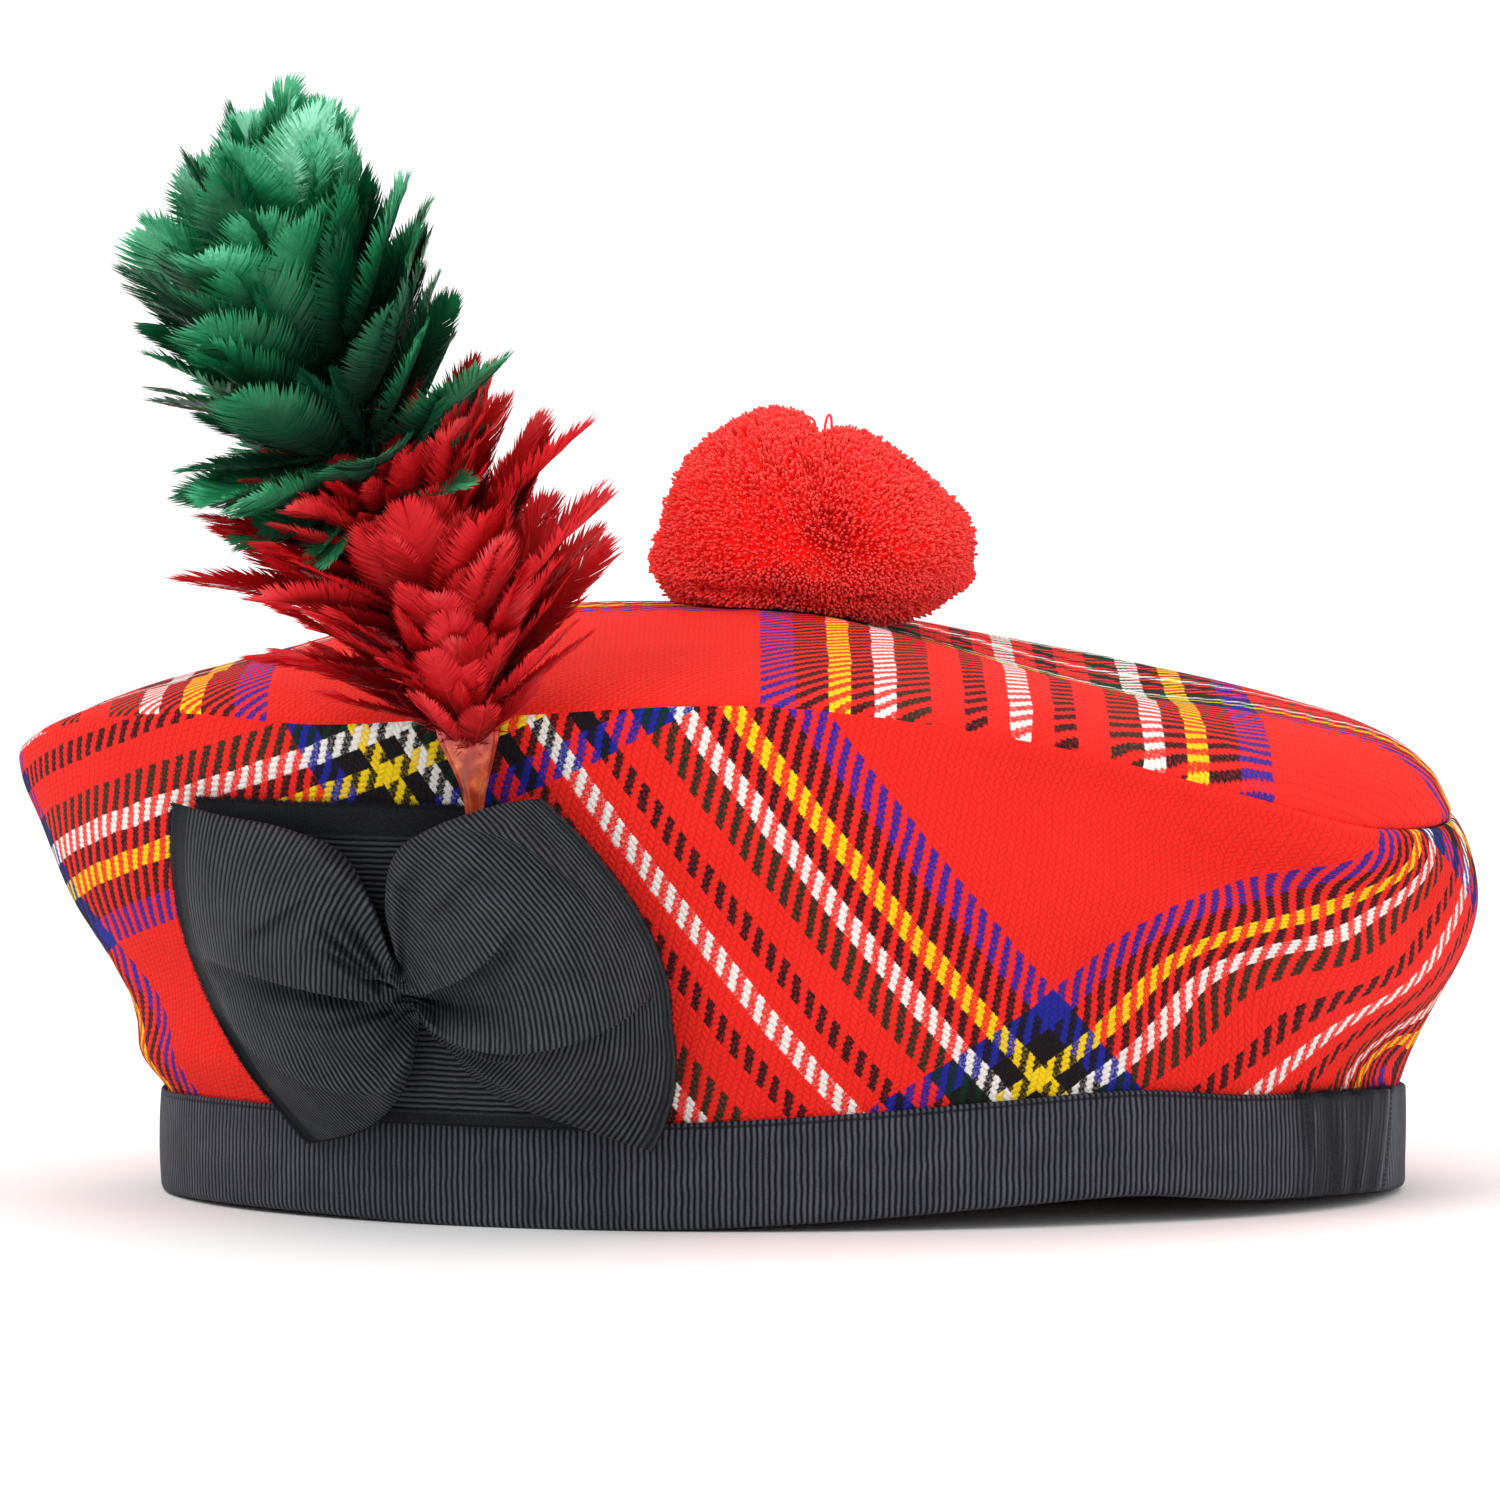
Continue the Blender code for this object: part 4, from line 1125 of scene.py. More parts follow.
def eased(rows):
    """More rows along a fold, with its corners rounded off."""
    steps = np.linspace(0, len(rows) - 1, FOLD_STEPS)
    fine = np.stack([np.interp(steps, np.arange(len(rows)), column) for column in rows.T])
    padded = np.pad(fine, ((0, 0), (2, 2)), mode="edge")
    return sum(weight * padded[:, shift:shift + FOLD_STEPS] for shift, weight in enumerate(FOLD_WEIGHTS)).T


def wing_place(place, share):
    """Where points of the bow lie, with the right wing's end more rounded."""
    x, z = bow_place(place, share)
    outer = np.clip(place, 0.0, 1.0) ** 6
    x = x + WING_BULGE * outer * np.sin(math.pi * ease(share, 0.42, 0.58))
    return x, z - WING_CORNER * outer * np.exp((share - 1.0) / 0.06)


def fold_at(rows, x, z):
    """How far one fold lifts places beside the knot, and where its lap slides them, all in mm."""
    line_x, line_z = bow_place(rows[:, 0], rows[:, 1])
    nearest = np.full(x.shape, np.inf)
    fold = np.zeros((3, *x.shape))
    for index in range(len(rows) - 1):
        run_x, run_z = line_x[index + 1] - line_x[index], line_z[index + 1] - line_z[index]
        off_x, off_z = x - line_x[index], z - line_z[index]
        part = np.clip((off_x * run_x + off_z * run_z) / (run_x ** 2 + run_z ** 2), 0.0, 1.0)
        away = np.hypot(off_x - part * run_x, off_z - part * run_z) / MM
        above, below, rise, lap = [
            rows[index, column] + (rows[index + 1, column] - rows[index, column]) * part
            for column in (2, 3, 4, 5)
        ]
        turn = np.sign(run_x if run_x else -run_z)
        higher = (run_x * off_z - run_z * off_x) * turn > 0
        valley = VALLEY * rise * (away / VALLEY_WIDTH) * np.exp(1 - away / VALLEY_WIDTH)
        sink = np.where(higher | (lap == 0), 0.0, valley)
        lift = rise * bell(away / np.where(higher, above, below)) - sink
        slide = lap * bell(away / np.where(higher, above, LAP_EDGE)) * turn / math.hypot(run_x, run_z)
        fold = np.where(away < nearest, (lift, slide * run_z, -slide * run_x), fold)
        nearest = np.minimum(nearest, away)
    return fold


def folded(place, share):
    """Places of the bow beside the knot after its folds lap over, and how far the folds lift them."""
    x, z = wing_place(place, share)
    total = np.zeros((3, *x.shape))
    for number in sorted({row[0] for row in FOLDS}):
        rows = np.array([row[1:] for row in FOLDS if row[0] == number])
        total += fold_at(eased(rows) if rows[:, 5].any() else rows, x, z)
    relief, slide_x, slide_z = total
    turn = 2 * math.pi * PLEATS * share
    pleats = np.sin(turn + 4 * place + 0.8) + 0.6 * np.sin(1.7 * turn - 3 * place)
    slack = np.sin(9 * place + 7 * share) * np.sin(5 * share - 6 * place + 1.0)
    relief += 0.5 * pleats * np.exp(-np.abs(place) / PLEAT_REACH)
    relief += 0.5 * slack * ease(np.abs(place), 0, 0.5)
    return x + slide_x * MM, z + slide_z * MM, relief * FOLD_RELIEF * MM


def wing_lift(place, share):
    """The bow's height over the hat's side: puffed, with a crease that is deeper in the left wing."""
    left = 1 / (1 + np.exp((place - CREASE_END) / CREASE_FADE))
    crease = BOW_CREASE_DEPTH * bell((share - BOW_CREASE) / BOW_CREASE_WIDTH) * (0.25 + 0.40 * left)
    lobes = np.sin(math.pi * np.clip(share, 0.0, 1.0)) ** LOBE_ROUNDNESS
    behind_stem = HACKLE_STANDOFF * share ** 2 * over_stem(place)
    return PATCH_OUT + BOW_EDGE_LIFT + behind_stem + BOW_PUFF * along(BOW, 7, place) * lobes * (1 - crease)


def plate(front, back, front_map, step=1):
    """Front, rim and back of a plate from two grids of points; its back keeps every few points.
    Returns its points, its faces and the map's values at their corners."""
    rows, columns = front.shape[:2]
    count = rows * columns
    index = np.arange(count).reshape(rows, columns)
    rim = np.concatenate((index[0], index[1:, -1], index[-1, -2::-1], index[-2:0:-1, 0]))
    edge = count + np.arange(len(rim))
    edges = np.stack((np.roll(rim, -1), rim, edge, np.roll(edge, -1)), axis=-1)
    hidden = back[::step, ::step]
    backs = grid_quads(*hidden.shape[:2], start=count + len(rim))[:, ::-1]
    verts = np.concatenate((front.reshape(-1, 3), back.reshape(-1, 3)[rim], hidden.reshape(-1, 3)))
    flat = front_map.reshape(count, -1)
    values = np.concatenate((flat, flat[rim], front_map[::step, ::step].reshape(-1, flat.shape[1])))
    faces = np.concatenate((grid_quads(rows, columns), edges, backs))
    return verts, faces.tolist(), values[faces.ravel()]


def make_bow(finish):
    place, share = np.meshgrid(np.linspace(-1, 1, BOW_ACROSS), np.linspace(0, 1, BOW_UP), indexing="ij")
    x, z, folds = folded(place, share)
    from_end = 1 - np.abs(place)
    knot = KNOT_THICKNESS * bell(place / KNOT_SPREAD)
    ridge = bell(from_end / RAW_WIDTH) * 0.35 * MM
    lift = wing_lift(place, share) + folds * ease(from_end, 0, 0.05) ** 0.5 + ridge
    least = PATCH_OUT + 0.4 * MM + HACKLE_STANDOFF * 0.8 * share ** 4 * over_stem(place)
    lift = np.maximum(lift, least)
    front = cockade_face(x, z, lift + BOW_THICKNESS + knot / 2)
    back = cockade_face(x, z, np.maximum(lift - knot / 2, least * 0.8))
    ribs = lengths_along(front, 0).mean(axis=1, keepdims=True) / BOW_RIB
    raw = ease(place, RAW_EDGE + RAW_WIDTH / 2, -RAW_WIDTH)
    raw = raw + 0.6 * ease(place, EDGE_BAND - RAW_WIDTH / 2, RAW_WIDTH)
    values = np.stack(np.broadcast_arrays(ribs, lengths_along(front, 1) / MM, raw, FAR), axis=-1)
    verts, faces, corners = plate(front, back, values, BACK_STEP)
    add_piece("cockade_ribbon", verts, faces, finish, corners, "cockade_bow")


def patch_x(share, across):
    """Places on the backing from its left edge to its right one, at shares of its height."""
    left, right = along(BACKING, 1, share), along(BACKING, 2, share)
    return BOW_REACH * (left + (right - left) * across) - KNOT_FORWARD


def make_backing(finish):
    across, share = np.meshgrid(np.linspace(0, 1, PATCH_ACROSS), np.linspace(0, 1, PATCH_UP), indexing="ij")
    x = patch_x(share, across)
    z = PATCH_FOOT + (PATCH_HEAD - PATCH_FOOT) * share
    wave = 0.25 * MM * np.sin(across * 9 + share * 4) * np.sin(math.pi * across) * np.sin(math.pi * share)
    hem = 0.5 * MM * ease(share, FELT_HEM, -FELT_HEM) ** 0.5
    front = cockade_face(x, z, PATCH_OUT + 0.3 * MM + wave + hem)
    back = cockade_face(x, z, SOFT_GAP * 0.6)
    felted = ease(share, FELT_FROM, FELT_WIDTH) + ease(share, FELT_HEM, -FELT_WIDTH)
    values = np.stack(np.broadcast_arrays(z / BOW_RIB, (x + 0.2) / MM, felted, FAR), axis=-1)
    verts, faces, corners = plate(front, back, values)
    add_piece("cockade_patch", verts, faces, finish, corners, "cockade_backing")


# Loose fibres on cut and felted edges; lengths in mm, spreads in radians
HAIR_WIDTH = 0.09 * MM
FACE = (0.0, -1.0, 0.0)
BOW_EDGES = (
    # along from, along to, share from, share to, hairs, length, spread
    (-1.0, -1.0, 0.0, 1.0, 3200, 1.2, 0.7),
    (-1.0, -0.62, 0.0, 0.0, 700, 0.7, 0.6),
    (1.0, 1.0, 0.0, 1.0, 2000, 0.7, 0.6),
)
PATCH_EDGES = (
    # share, height, upwards, hairs, length, spread
    (1.0, PATCH_HEAD, 1.0, 3000, 1.4, 0.7),
    (0.0, PATCH_FOOT, -1.0, 2400, 1.0, 0.7),
)
# Hairs on the headband's crumpled edge: how many, and between which angles
BAND_HAIRS = 2600
BAND_HAIRS_FROM, BAND_HAIRS_TO = 322.5, 344.5


def hairs(roots, out, face, length, spread, rng):
    """Thin curved triangles that grow from an edge; length and spread are in mm and radians."""
    count = len(roots)
    along_edge = unit(np.cross(out, face))
    way = unit(
        out + rng.normal(0, spread, (count, 1)) * along_edge
        + rng.normal(0.1, spread, (count, 1)) * np.asarray(face)
    )
    size = length * MM * rng.uniform(0.35, 1.0, (count, 1))
    bend = unit(way + rng.normal(0, 0.7, (count, 3)))
    middle = roots + way * size * 0.55
    tip = middle + bend * size * 0.45
    side = unit(np.cross(way, face)) * HAIR_WIDTH / 2
    return np.stack((roots - side, roots + side, middle + side * 0.8, middle - side * 0.8, tip), axis=1)


def bow_hairs(rng):
    for along_from, along_to, share_from, share_to, count, length, spread in BOW_EDGES:
        part = rng.uniform(0, 1, count)
        place = along_from + (along_to - along_from) * part
        share = share_from + (share_to - share_from) * part
        cut_end = along_from == along_to
        x, z = wing_place(place, share)
        inner_x, inner_z = wing_place(
            place - np.sign(place) * 0.03 if cut_end else place, share if cut_end else share + 0.03)
        out = unit(points(x - inner_x, 0.0, z - inner_z))
        lift = PATCH_OUT + BOW_EDGE_LIFT + rng.uniform(0, BOW_THICKNESS, count)
        yield hairs(cockade_face(x, z, lift) - out * 0.1 * MM, out, FACE, length, spread, rng)


def patch_hairs(rng):
    for share, height, up, count, length, spread in PATCH_EDGES:
        x = patch_x(share, rng.uniform(0, 1, count))
        z = height + rng.uniform(-0.3, 0.3, count) * MM
        roots = cockade_face(x, z, SOFT_GAP + BACKING_THICKNESS * rng.uniform(0.2, 1.6, count))
        yield hairs(roots, (0.0, 0.0, up), FACE, length, spread, rng)


def band_hairs(rng):
    angle = rng.uniform(BAND_HAIRS_FROM, BAND_HAIRS_TO, BAND_HAIRS)
    roots = neck(angle, -(RIBBON + GAP) - rng.uniform(-0.3, 0.7, BAND_HAIRS) * MM)
    roots[:, 2] = band_top(angle) + rng.uniform(-1.2, 0.3, BAND_HAIRS) * MM
    turn = np.radians(angle)
    face = points(np.cos(turn), np.sin(turn), 0.0)
    yield hairs(roots, unit(face + (0.0, 0.0, 0.9)), face, 0.9, 0.8, rng)


def make_fibres(finish):
    """Fuzz along the bow's cut ends, the felted edges of its patch and the headband's folded edge."""
    rng = np.random.default_rng(21)
    strips = np.concatenate([*bow_hairs(rng), *patch_hairs(rng), *band_hairs(rng)])
    starts = 5 * np.arange(len(strips))[:, None]
    values = np.broadcast_to((0.0, 0.0, 1.0, FAR), (strips.size // 3, 4))
    shapes = (starts + (0, 1, 2, 3), starts + (3, 2, 4))
    verts, faces, corners = merged([(strips.reshape(-1, 3), shapes, values)])
    add_piece("loose_fibres", verts, faces, finish, corners)


# Rows of feathers up each bundle: lengths as shares of FEATHER_LENGTH, widths as shares of the
# feather's own length, near for the side that faces the camera; narrow is the share of thin feathers
RED_FEATHERS = (
    # height, number, splay, near_splay, length, near_length, core, width, narrow, pale
    (0.112, 10, 38, 28, 0.50, 0.44, 0.10, 0.25, 0.4, 0.28),
    (0.138, 14, 54, 40, 0.70, 0.56, 0.30, 0.25, 0.5, 0.22),
    (0.172, 18, 62, 46, 0.90, 0.72, 0.50, 0.25, 0.5, 0.18),
    (0.212, 18, 64, 46, 1.02, 0.84, 0.60, 0.25, 0.5, 0.13),
    (0.256, 16, 65, 45, 1.08, 0.92, 0.70, 0.25, 0.5, 0.09),
    (0.300, 15, 64, 44, 1.12, 0.92, 0.75, 0.28, 0.4, 0.05),
    (0.340, 15, 62, 43, 1.15, 0.84, 0.80, 0.28, 0.4, 0.05),
    (0.380, 15, 60, 44, 1.15, 0.72, 0.80, 0.28, 0.4, 0.06),
    (0.420, 15, 57, 46, 1.10, 0.60, 0.80, 0.28, 0.4, 0.08),
    (0.460, 14, 54, 50, 1.00, 0.50, 0.80, 0.29, 0.3, 0.12),
    (0.495, 12, 50, 56, 0.84, 0.44, 0.70, 0.30, 0.3, 0.15),
)
GREEN_FEATHERS = (
    # height, number, splay, near_splay, length, near_length, core, width, narrow, pale
    (0.500, 12, 80, 128, 0.80, 0.50, 0.70, 0.36, 0.2, 0.10),
    (0.525, 13, 72, 74, 0.96, 0.80, 0.80, 0.36, 0.2, 0.06),
    (0.560, 13, 65, 54, 1.03, 0.90, 0.85, 0.36, 0.2, 0.04),
    (0.600, 13, 60, 42, 1.05, 1.00, 0.90, 0.36, 0.2, 0.03),
    (0.640, 13, 55, 36, 1.05, 1.04, 0.90, 0.36, 0.2, 0.04),
    (0.680, 13, 50, 32, 1.04, 1.04, 0.90, 0.36, 0.2, 0.08),
    (0.715, 12, 45, 28, 1.00, 1.00, 0.85, 0.36, 0.1, 0.16),
    (0.750, 12, 38, 24, 0.96, 0.96, 0.80, 0.36, 0.1, 0.30),
    (0.785, 11, 32, 20, 0.92, 0.92, 0.70, 0.36, 0.1, 0.46),
    (0.820, 10, 25, 16, 0.86, 0.86, 0.55, 0.36, 0.0, 0.60),
    (0.850, 8, 17, 11, 0.78, 0.78, 0.35, 0.35, 0.0, 0.72),
    (0.870, 5, 9, 6, 0.70, 0.70, 0.20, 0.34, 0.0, 0.80),
)
BARBS = 84
BARB_PARTS = 3
BARB_OVERLAP = 1.9
BARB_WIDEST = 2.6
BARB_TILT = 0.035 * MM
BARB_CUP = 0.42
# Gaps where a vane is split, how far each parts its barbs and how far single barbs stray, in degrees
SPLITS = 4
SPLIT_TURN = 2.2
BARB_STRAY = 0.8
QUILL_WIDTH = 0.45 * MM
QUILL_SHARE = 0.84
QUILL_LEVELS = 8
NARROW_WIDTH = 0.48
NARROW_LENGTH = 1.06
DOWN_SHARE = 0.14
# How far round its outline a vane's barbs reach, in degrees, and where the outline is widest
VANE_TURN = 150
VANE_MIDDLE = 0.55
# How far the upper feathers stand up straight from the plume's forward sweep
UPRIGHT = 0.30
# Points up and round the dark core of a bundle, which stands in as painted shade deep in the plume
CORE_POINTS = 16
# How unevenly feathers stand round and up the plume, how their slant (in degrees), direction, twist,
# length, width, bend and paleness vary, and how much darker the narrow ones are
STRAY_TURN = 0.12
STRAY_HEIGHT = 0.006
STRAY_SLANT = 6.5
STRAY_WAY = 0.05
STRAY_TWIST = 0.25
STRAY_LENGTH = 0.09
STRAY_WIDTH = 0.08
STRAY_BEND = 0.08
STRAY_PALE = 0.07
NARROW_DARK = 0.12


def barbs(places, spine, side, way, face, length, width, narrow, hand, rng):
    """Overlapping curved barbs on one side of a quill: a narrow strip each, down to one point."""
    steps = np.linspace(0, 1, BARB_PARTS + 1)
    splits = np.zeros(BARBS)
    for place in rng.uniform(0.10, 0.95, SPLITS):
        splits += np.where(places > place, -1, 1) * rng.normal(0, SPLIT_TURN)
    turn = VANE_TURN * (1 - places) ** 0.75 + splits + rng.normal(0, BARB_STRAY, BARBS)
    turn = np.radians(np.clip(turn, 1.5, 165))
    ahead_end = (VANE_MIDDLE + (1 - VANE_MIDDLE) * np.cos(turn) - places * QUILL_SHARE) * length
    across_end = width * length * np.sin(turn) ** (1.5 if narrow else 0.9)
    angle = np.arctan2(across_end, ahead_end)
    run = np.hypot(across_end, ahead_end) * (1 + rng.normal(0, 0.05, BARBS))
    downy = places < DOWN_SHARE
    angle = np.where(downy, angle + rng.normal(0.1, 0.4, BARBS), angle)
    loose = np.where(downy, rng.normal(0.1, 0.35, BARBS), rng.normal(0, 0.03, BARBS)) * run
    across = (run * np.sin(angle))[:, None] * (steps - 0.16 * steps ** 2)
    ahead = (run * np.cos(angle))[:, None] * (steps + 0.12 * steps ** 2)
    cup = loose[:, None] * steps ** 2 - BARB_CUP * across * steps
    path = spine(places)[:, None] + hand * across[..., None] * side
    path = path + ahead[..., None] * way + cup[..., None] * face
    beside = np.gradient(path, axis=0)
    gap = np.linalg.norm(beside, axis=-1, keepdims=True)
    widest = length * QUILL_SHARE / BARBS * BARB_WIDEST
    beside = beside * np.minimum(1.0, widest / gap) * BARB_OVERLAP / 2 * (1 - 0.6 * steps ** 8)[:, None]
    beside = beside * np.where(downy, 0.5, 1.0)[:, None, None]
    beside = beside + (BARB_TILT + rng.normal(0, 0.012 * MM, BARBS))[:, None, None] * face
    strip = np.stack((path - beside, path + beside), axis=2)
    strip[:, -1, 0] = path[:, -1]
    return strip.reshape(BARBS, -1, 3)[:, :-1]


def feather(root, way, face, length, width, narrow, bend, rng):
    """A tapered quill with barbs on both sides, loose and downy at its foot; as a part to be merged."""
    side = unit(np.cross(way, face))
    places = np.sort(np.clip(np.linspace(0.02, 1.0, BARBS) + rng.normal(0, 0.004, BARBS), 0.01, 1.0))

    def spine(share):
        share = np.asarray(share)[..., None]
        return root + (way * share - face * bend * share ** 2) * length * QUILL_SHARE

    levels = np.linspace(0, 1, QUILL_LEVELS)
    line = spine(levels)
    radius = QUILL_WIDTH / 2 * (1 - 0.75 * levels)[:, None]
    quill = np.stack((line - side * radius, line + face * radius, line + side * radius), axis=1)
    strips = np.concatenate([
        barbs(places, spine, side, way, face, length, width, narrow, hand, rng) for hand in (-1.0, 1.0)])

    each = strips.shape[1]
    starts = 3 * QUILL_LEVELS + each * np.arange(2 * BARBS)[:, None, None]
    strip = np.array([(low, low + 1, low + 3, low + 2) for low in range(0, each - 3, 2)])
    quads = (strip + starts).reshape(-1, 4)
    tips = (np.arange(each - 3, each) + starts).reshape(-1, 3)
    outward = np.repeat(np.linspace(0, 1, BARB_PARTS + 1), 2)[:-1]
    outward = np.concatenate((np.zeros(3 * QUILL_LEVELS), np.tile(outward, 2 * BARBS)))
    up = np.concatenate((np.repeat(levels, 3), np.repeat(np.tile(places, 2), each)))
    verts = np.concatenate((quill.reshape(-1, 3), strips.reshape(-1, 3)))
    return verts, (grid_quads(QUILL_LEVELS, 3), quads, tips), np.stack((outward, up), axis=-1)


def plume_feather(row, values, index, foot_y, rng):
    """One feather of a row, leaning out from the plume's middle line; with its tone added."""
    height, count, splay, near_splay, length, near_length, core, width, narrow, pale = values
    turn = 2 * math.pi * (index + 0.5 * (row % 2)) / count + rng.normal(0, STRAY_TURN)
    thin = rng.uniform() < narrow * (1 + 0.9 * math.cos(turn))
    middle, direction, side, depth = hackle_frame(height + rng.normal(0, STRAY_HEIGHT), foot_y)
    out = side * math.cos(turn) + depth * math.sin(turn)
    direction = unit(direction - side * UPRIGHT * ease(height, 0.60, 0.25))
    near = abs(math.sin(turn)) ** 1.5
    slant = splay + (near_splay - splay) * near + 6 * max(0.0, math.cos(turn))
    slant = math.radians(slant + rng.normal(0, STRAY_SLANT))
    way = unit(direction * math.cos(slant) + out * math.sin(slant) + rng.normal(0, STRAY_WAY, 3))
    face = out * math.cos(slant) - direction * math.sin(slant)
    face = unit(face + STRAY_TWIST * rng.normal(0, 1) * np.cross(way, face))
    size = FEATHER_LENGTH * (length + (near_length - length) * near) * (1 + rng.normal(0, STRAY_LENGTH))
    size *= NARROW_LENGTH if thin else 1.0
    wide = width * (NARROW_WIDTH if thin else 1.0) * (1 + rng.normal(0, STRAY_WIDTH))
    bend = rng.normal(0.16 + 0.08 * abs(math.sin(turn)), STRAY_BEND)
    root = middle + out * CORE_RADIUS * core * 0.6
    verts, faces, maps = feather(root, way, face, size, wide, thin, bend, rng)
    paleness = np.clip(pale + rng.normal(0, STRAY_PALE) - (NARROW_DARK if thin else 0), 0, 1)
    tone = np.broadcast_to((paleness, rng.uniform(0, 0.98) + thin), maps.shape)
    return verts, faces, np.concatenate((maps, tone), axis=1)


def plume_shade_core(foot, end, foot_y):
    """Dark spindle up the middle of a bundle, which closes the gaps between its feathers: painted shade
    standing for the dark deep inside the plume.
    """
    middles, _, sides, depths = hackle_frame(np.linspace(foot, end, CORE_POINTS), foot_y)
    swell = CORE_RADIUS * 0.6 * np.sin(math.pi * np.linspace(0.08, 0.94, CORE_POINTS))[:, None] ** 0.7
    rings = tube(middles, sides, depths, swell, swell, CORE_POINTS)
    faces = grid_quads(CORE_POINTS, CORE_POINTS, closed=True)
    return rings.reshape(-1, 3), (faces,), np.zeros((CORE_POINTS ** 2, 4))


def plume_piece(colour, table, end, finish, seed):
    """All the feathers of one colour round a dark core of painted shade, as one mesh."""
    rng = np.random.default_rng(seed)
    foot_y = hackle_foot_y(-HACKLE_FORWARD)
    parts = [
        plume_feather(row, values, index, foot_y, rng)
        for row, values in enumerate(table) for index in range(values[1])
    ]
    verts, faces, corners = merged(parts + [plume_shade_core(table[0][0], end, foot_y)])
    name = f"hackle_{colour}"
    add_piece(f"{name}_plume", verts, faces, finish, corners, name)


def plume(name, stops, gloss, gain):
    """Feather barbs: paler at the tips and darker at the foot, the foot's darkness painted shade where
    feathers lie under one another; each feather a little different.
    """
    finish = Finish(name, roughness=0.5, specular=gloss, sheen=0.10, tint=stops[-1][1])
    outward, share = finish.cloth()
    pale, number = finish.cloth("tone")
    level = share ** 2.6 * 0.34 + outward ** 2.0 * 0.20 + pale * gain
    level = level * finish.spread(finish.math("FRACT", number), 0.0, 1.0, 0.48, 1.25)
    level = level * finish.spread(number, 0.98, 1.0, 1.0, 0.62)
    level = level * finish.spread(finish.noise(140.0), 0.3, 0.7, 0.75, 1.25)
    level = level * finish.spread(finish.noise(1400.0), 0.3, 0.7, 0.85, 1.12)
    # Painted shade: the lower part of each feather is drawn darker, less so for pale feathers.
    foot = finish.larger(finish.spread(share, 0.0, 0.60, 0.24, 1.0), finish.math("MINIMUM", pale * 1.6, 1.0))
    finish.set("Base Color", finish.ramp(level * foot, stops))
    finish.set("Roughness", finish.spread(number, 0.98, 1.0, 0.55, 0.30))
    return finish.material


def make_hackle():
    green = plume("green_feather", (
        (0.0, linear(0, 22, 16)), (0.16, linear(0, 76, 46)), (0.36, linear(10, 124, 74)),
        (0.66, linear(84, 190, 138)), (1.0, linear(160, 236, 204))), 0.45, 0.80)
    red = plume("red_feather", (
        (0.0, linear(118, 4, 10)), (0.14, linear(196, 16, 24)), (0.36, linear(224, 36, 44)),
        (0.70, linear(226, 66, 68)), (1.0, linear(232, 124, 120))), 0.22, 0.60)
    plume_piece("red", RED_FEATHERS, RED_END, red, 11)
    plume_piece("green", GREEN_FEATHERS, GREEN_END, green, 12)
    make_quill()


# Glued bundle of quills under the feathers: half its width and depth in mm up the plume
QUILLS = (
    # height, half_width, half_depth
    (0.000, 1.4, 1.4),
    (0.050, 1.7, 1.5),
    (0.075, 2.3, 1.8),
    (0.110, 3.6, 2.4),
    (0.145, 4.8, 3.0),
    (0.180, 4.4, 3.0),
    (0.220, 2.0, 2.0),
)
QUILLS_TOP = 0.22
QUILLS_UP = 34
QUILLS_ROUND = 60


def quill_finish():
    """Glossy glue over orange-brown quills, redder where the feathers begin."""
    quill = Finish("quill", roughness=0.28, specular=0.5)
    quill.set("Coat Weight", 0.3)
    _, height = quill.cloth()
    where = quill.noise(320.0, 3.0)
    low = quill.ramp(where, (
        (0.3, linear(112, 30, 18)), (0.52, linear(178, 62, 30)), (0.74, linear(236, 136, 80))))
    high = quill.ramp(where, ((0.3, linear(132, 14, 18)), (0.7, linear(194, 40, 38))))
    quill.set("Base Color", quill.mix(quill.spread(height, 0.10, 0.16, 0.0, 1.0), low, high))
    quill.set("Subsurface Weight", 0.2)
    quill.set("Subsurface Radius", (0.004, 0.002, 0.001))
    quill.bump(where, 0.15 * MM)
    return quill.material


def make_quill():
    """Ridged bundle of quills, closed at both ends."""
    heights = np.linspace(0.0, QUILLS_TOP, QUILLS_UP)
    turns = np.linspace(0, 2 * math.pi, QUILLS_ROUND, endpoint=False)
    middles, _, sides, depths = hackle_frame(heights, hackle_foot_y(-HACKLE_FORWARD))
    ridge = 1 + 0.10 * np.abs(np.cos(turns * 5.5 + 1.0)) * ease(heights, 0, 0.06)[:, None]
    wide = along(QUILLS, 1, heights)[:, None] * MM * ridge
    deep = along(QUILLS, 2, heights)[:, None] * MM * ridge
    rings = tube(middles, sides, depths, wide, deep, QUILLS_ROUND)
    maps = np.stack(np.broadcast_arrays(turns, heights[:, None]), axis=-1).reshape(-1, 2)
    count = len(maps)
    ring = np.arange(QUILLS_ROUND)
    after = np.roll(ring, -1)
    last = count - QUILLS_ROUND
    foot = np.stack((after, ring, np.full_like(ring, count)), axis=-1)
    top = np.stack((last + ring, last + after, np.full_like(ring, count + 1)), axis=-1)
    part = (
        np.concatenate((rings.reshape(-1, 3), middles[[0, -1]])),
        (grid_quads(QUILLS_UP, QUILLS_ROUND, closed=True), foot, top),
        np.concatenate((maps, ((0.0, 0.0), (0.0, QUILLS_TOP)))),
    )
    verts, faces, corners = merged([part])
    add_piece("hackle_quills", verts, faces, quill_finish(), corners, "hackle_stem")


# Pompom of cut yarn: how many ends it has, how thick they are and how unevenly they are cut
YARN_ENDS = 16400
YARN = 0.62 * MM
YARN_DEPTH = 4.0 * MM
YARN_UNEVEN = 0.40 * MM
YARN_LEAN = 0.15
YARN_SIDES = 3
# How far below the top piece's face an end may reach before it is left out
YARN_TUCK = 1.2 * MM
YARN_RINGS = (
    # back from the tip, width as a share of the yarn's, unevenness, outward value of the map
    (YARN_DEPTH, 0.80, 0.0, 0.0),
    (0.25 * MM, 1.00, 0.0, 0.86),
    (0.0, 0.72, 0.10 * MM, 1.0),
)

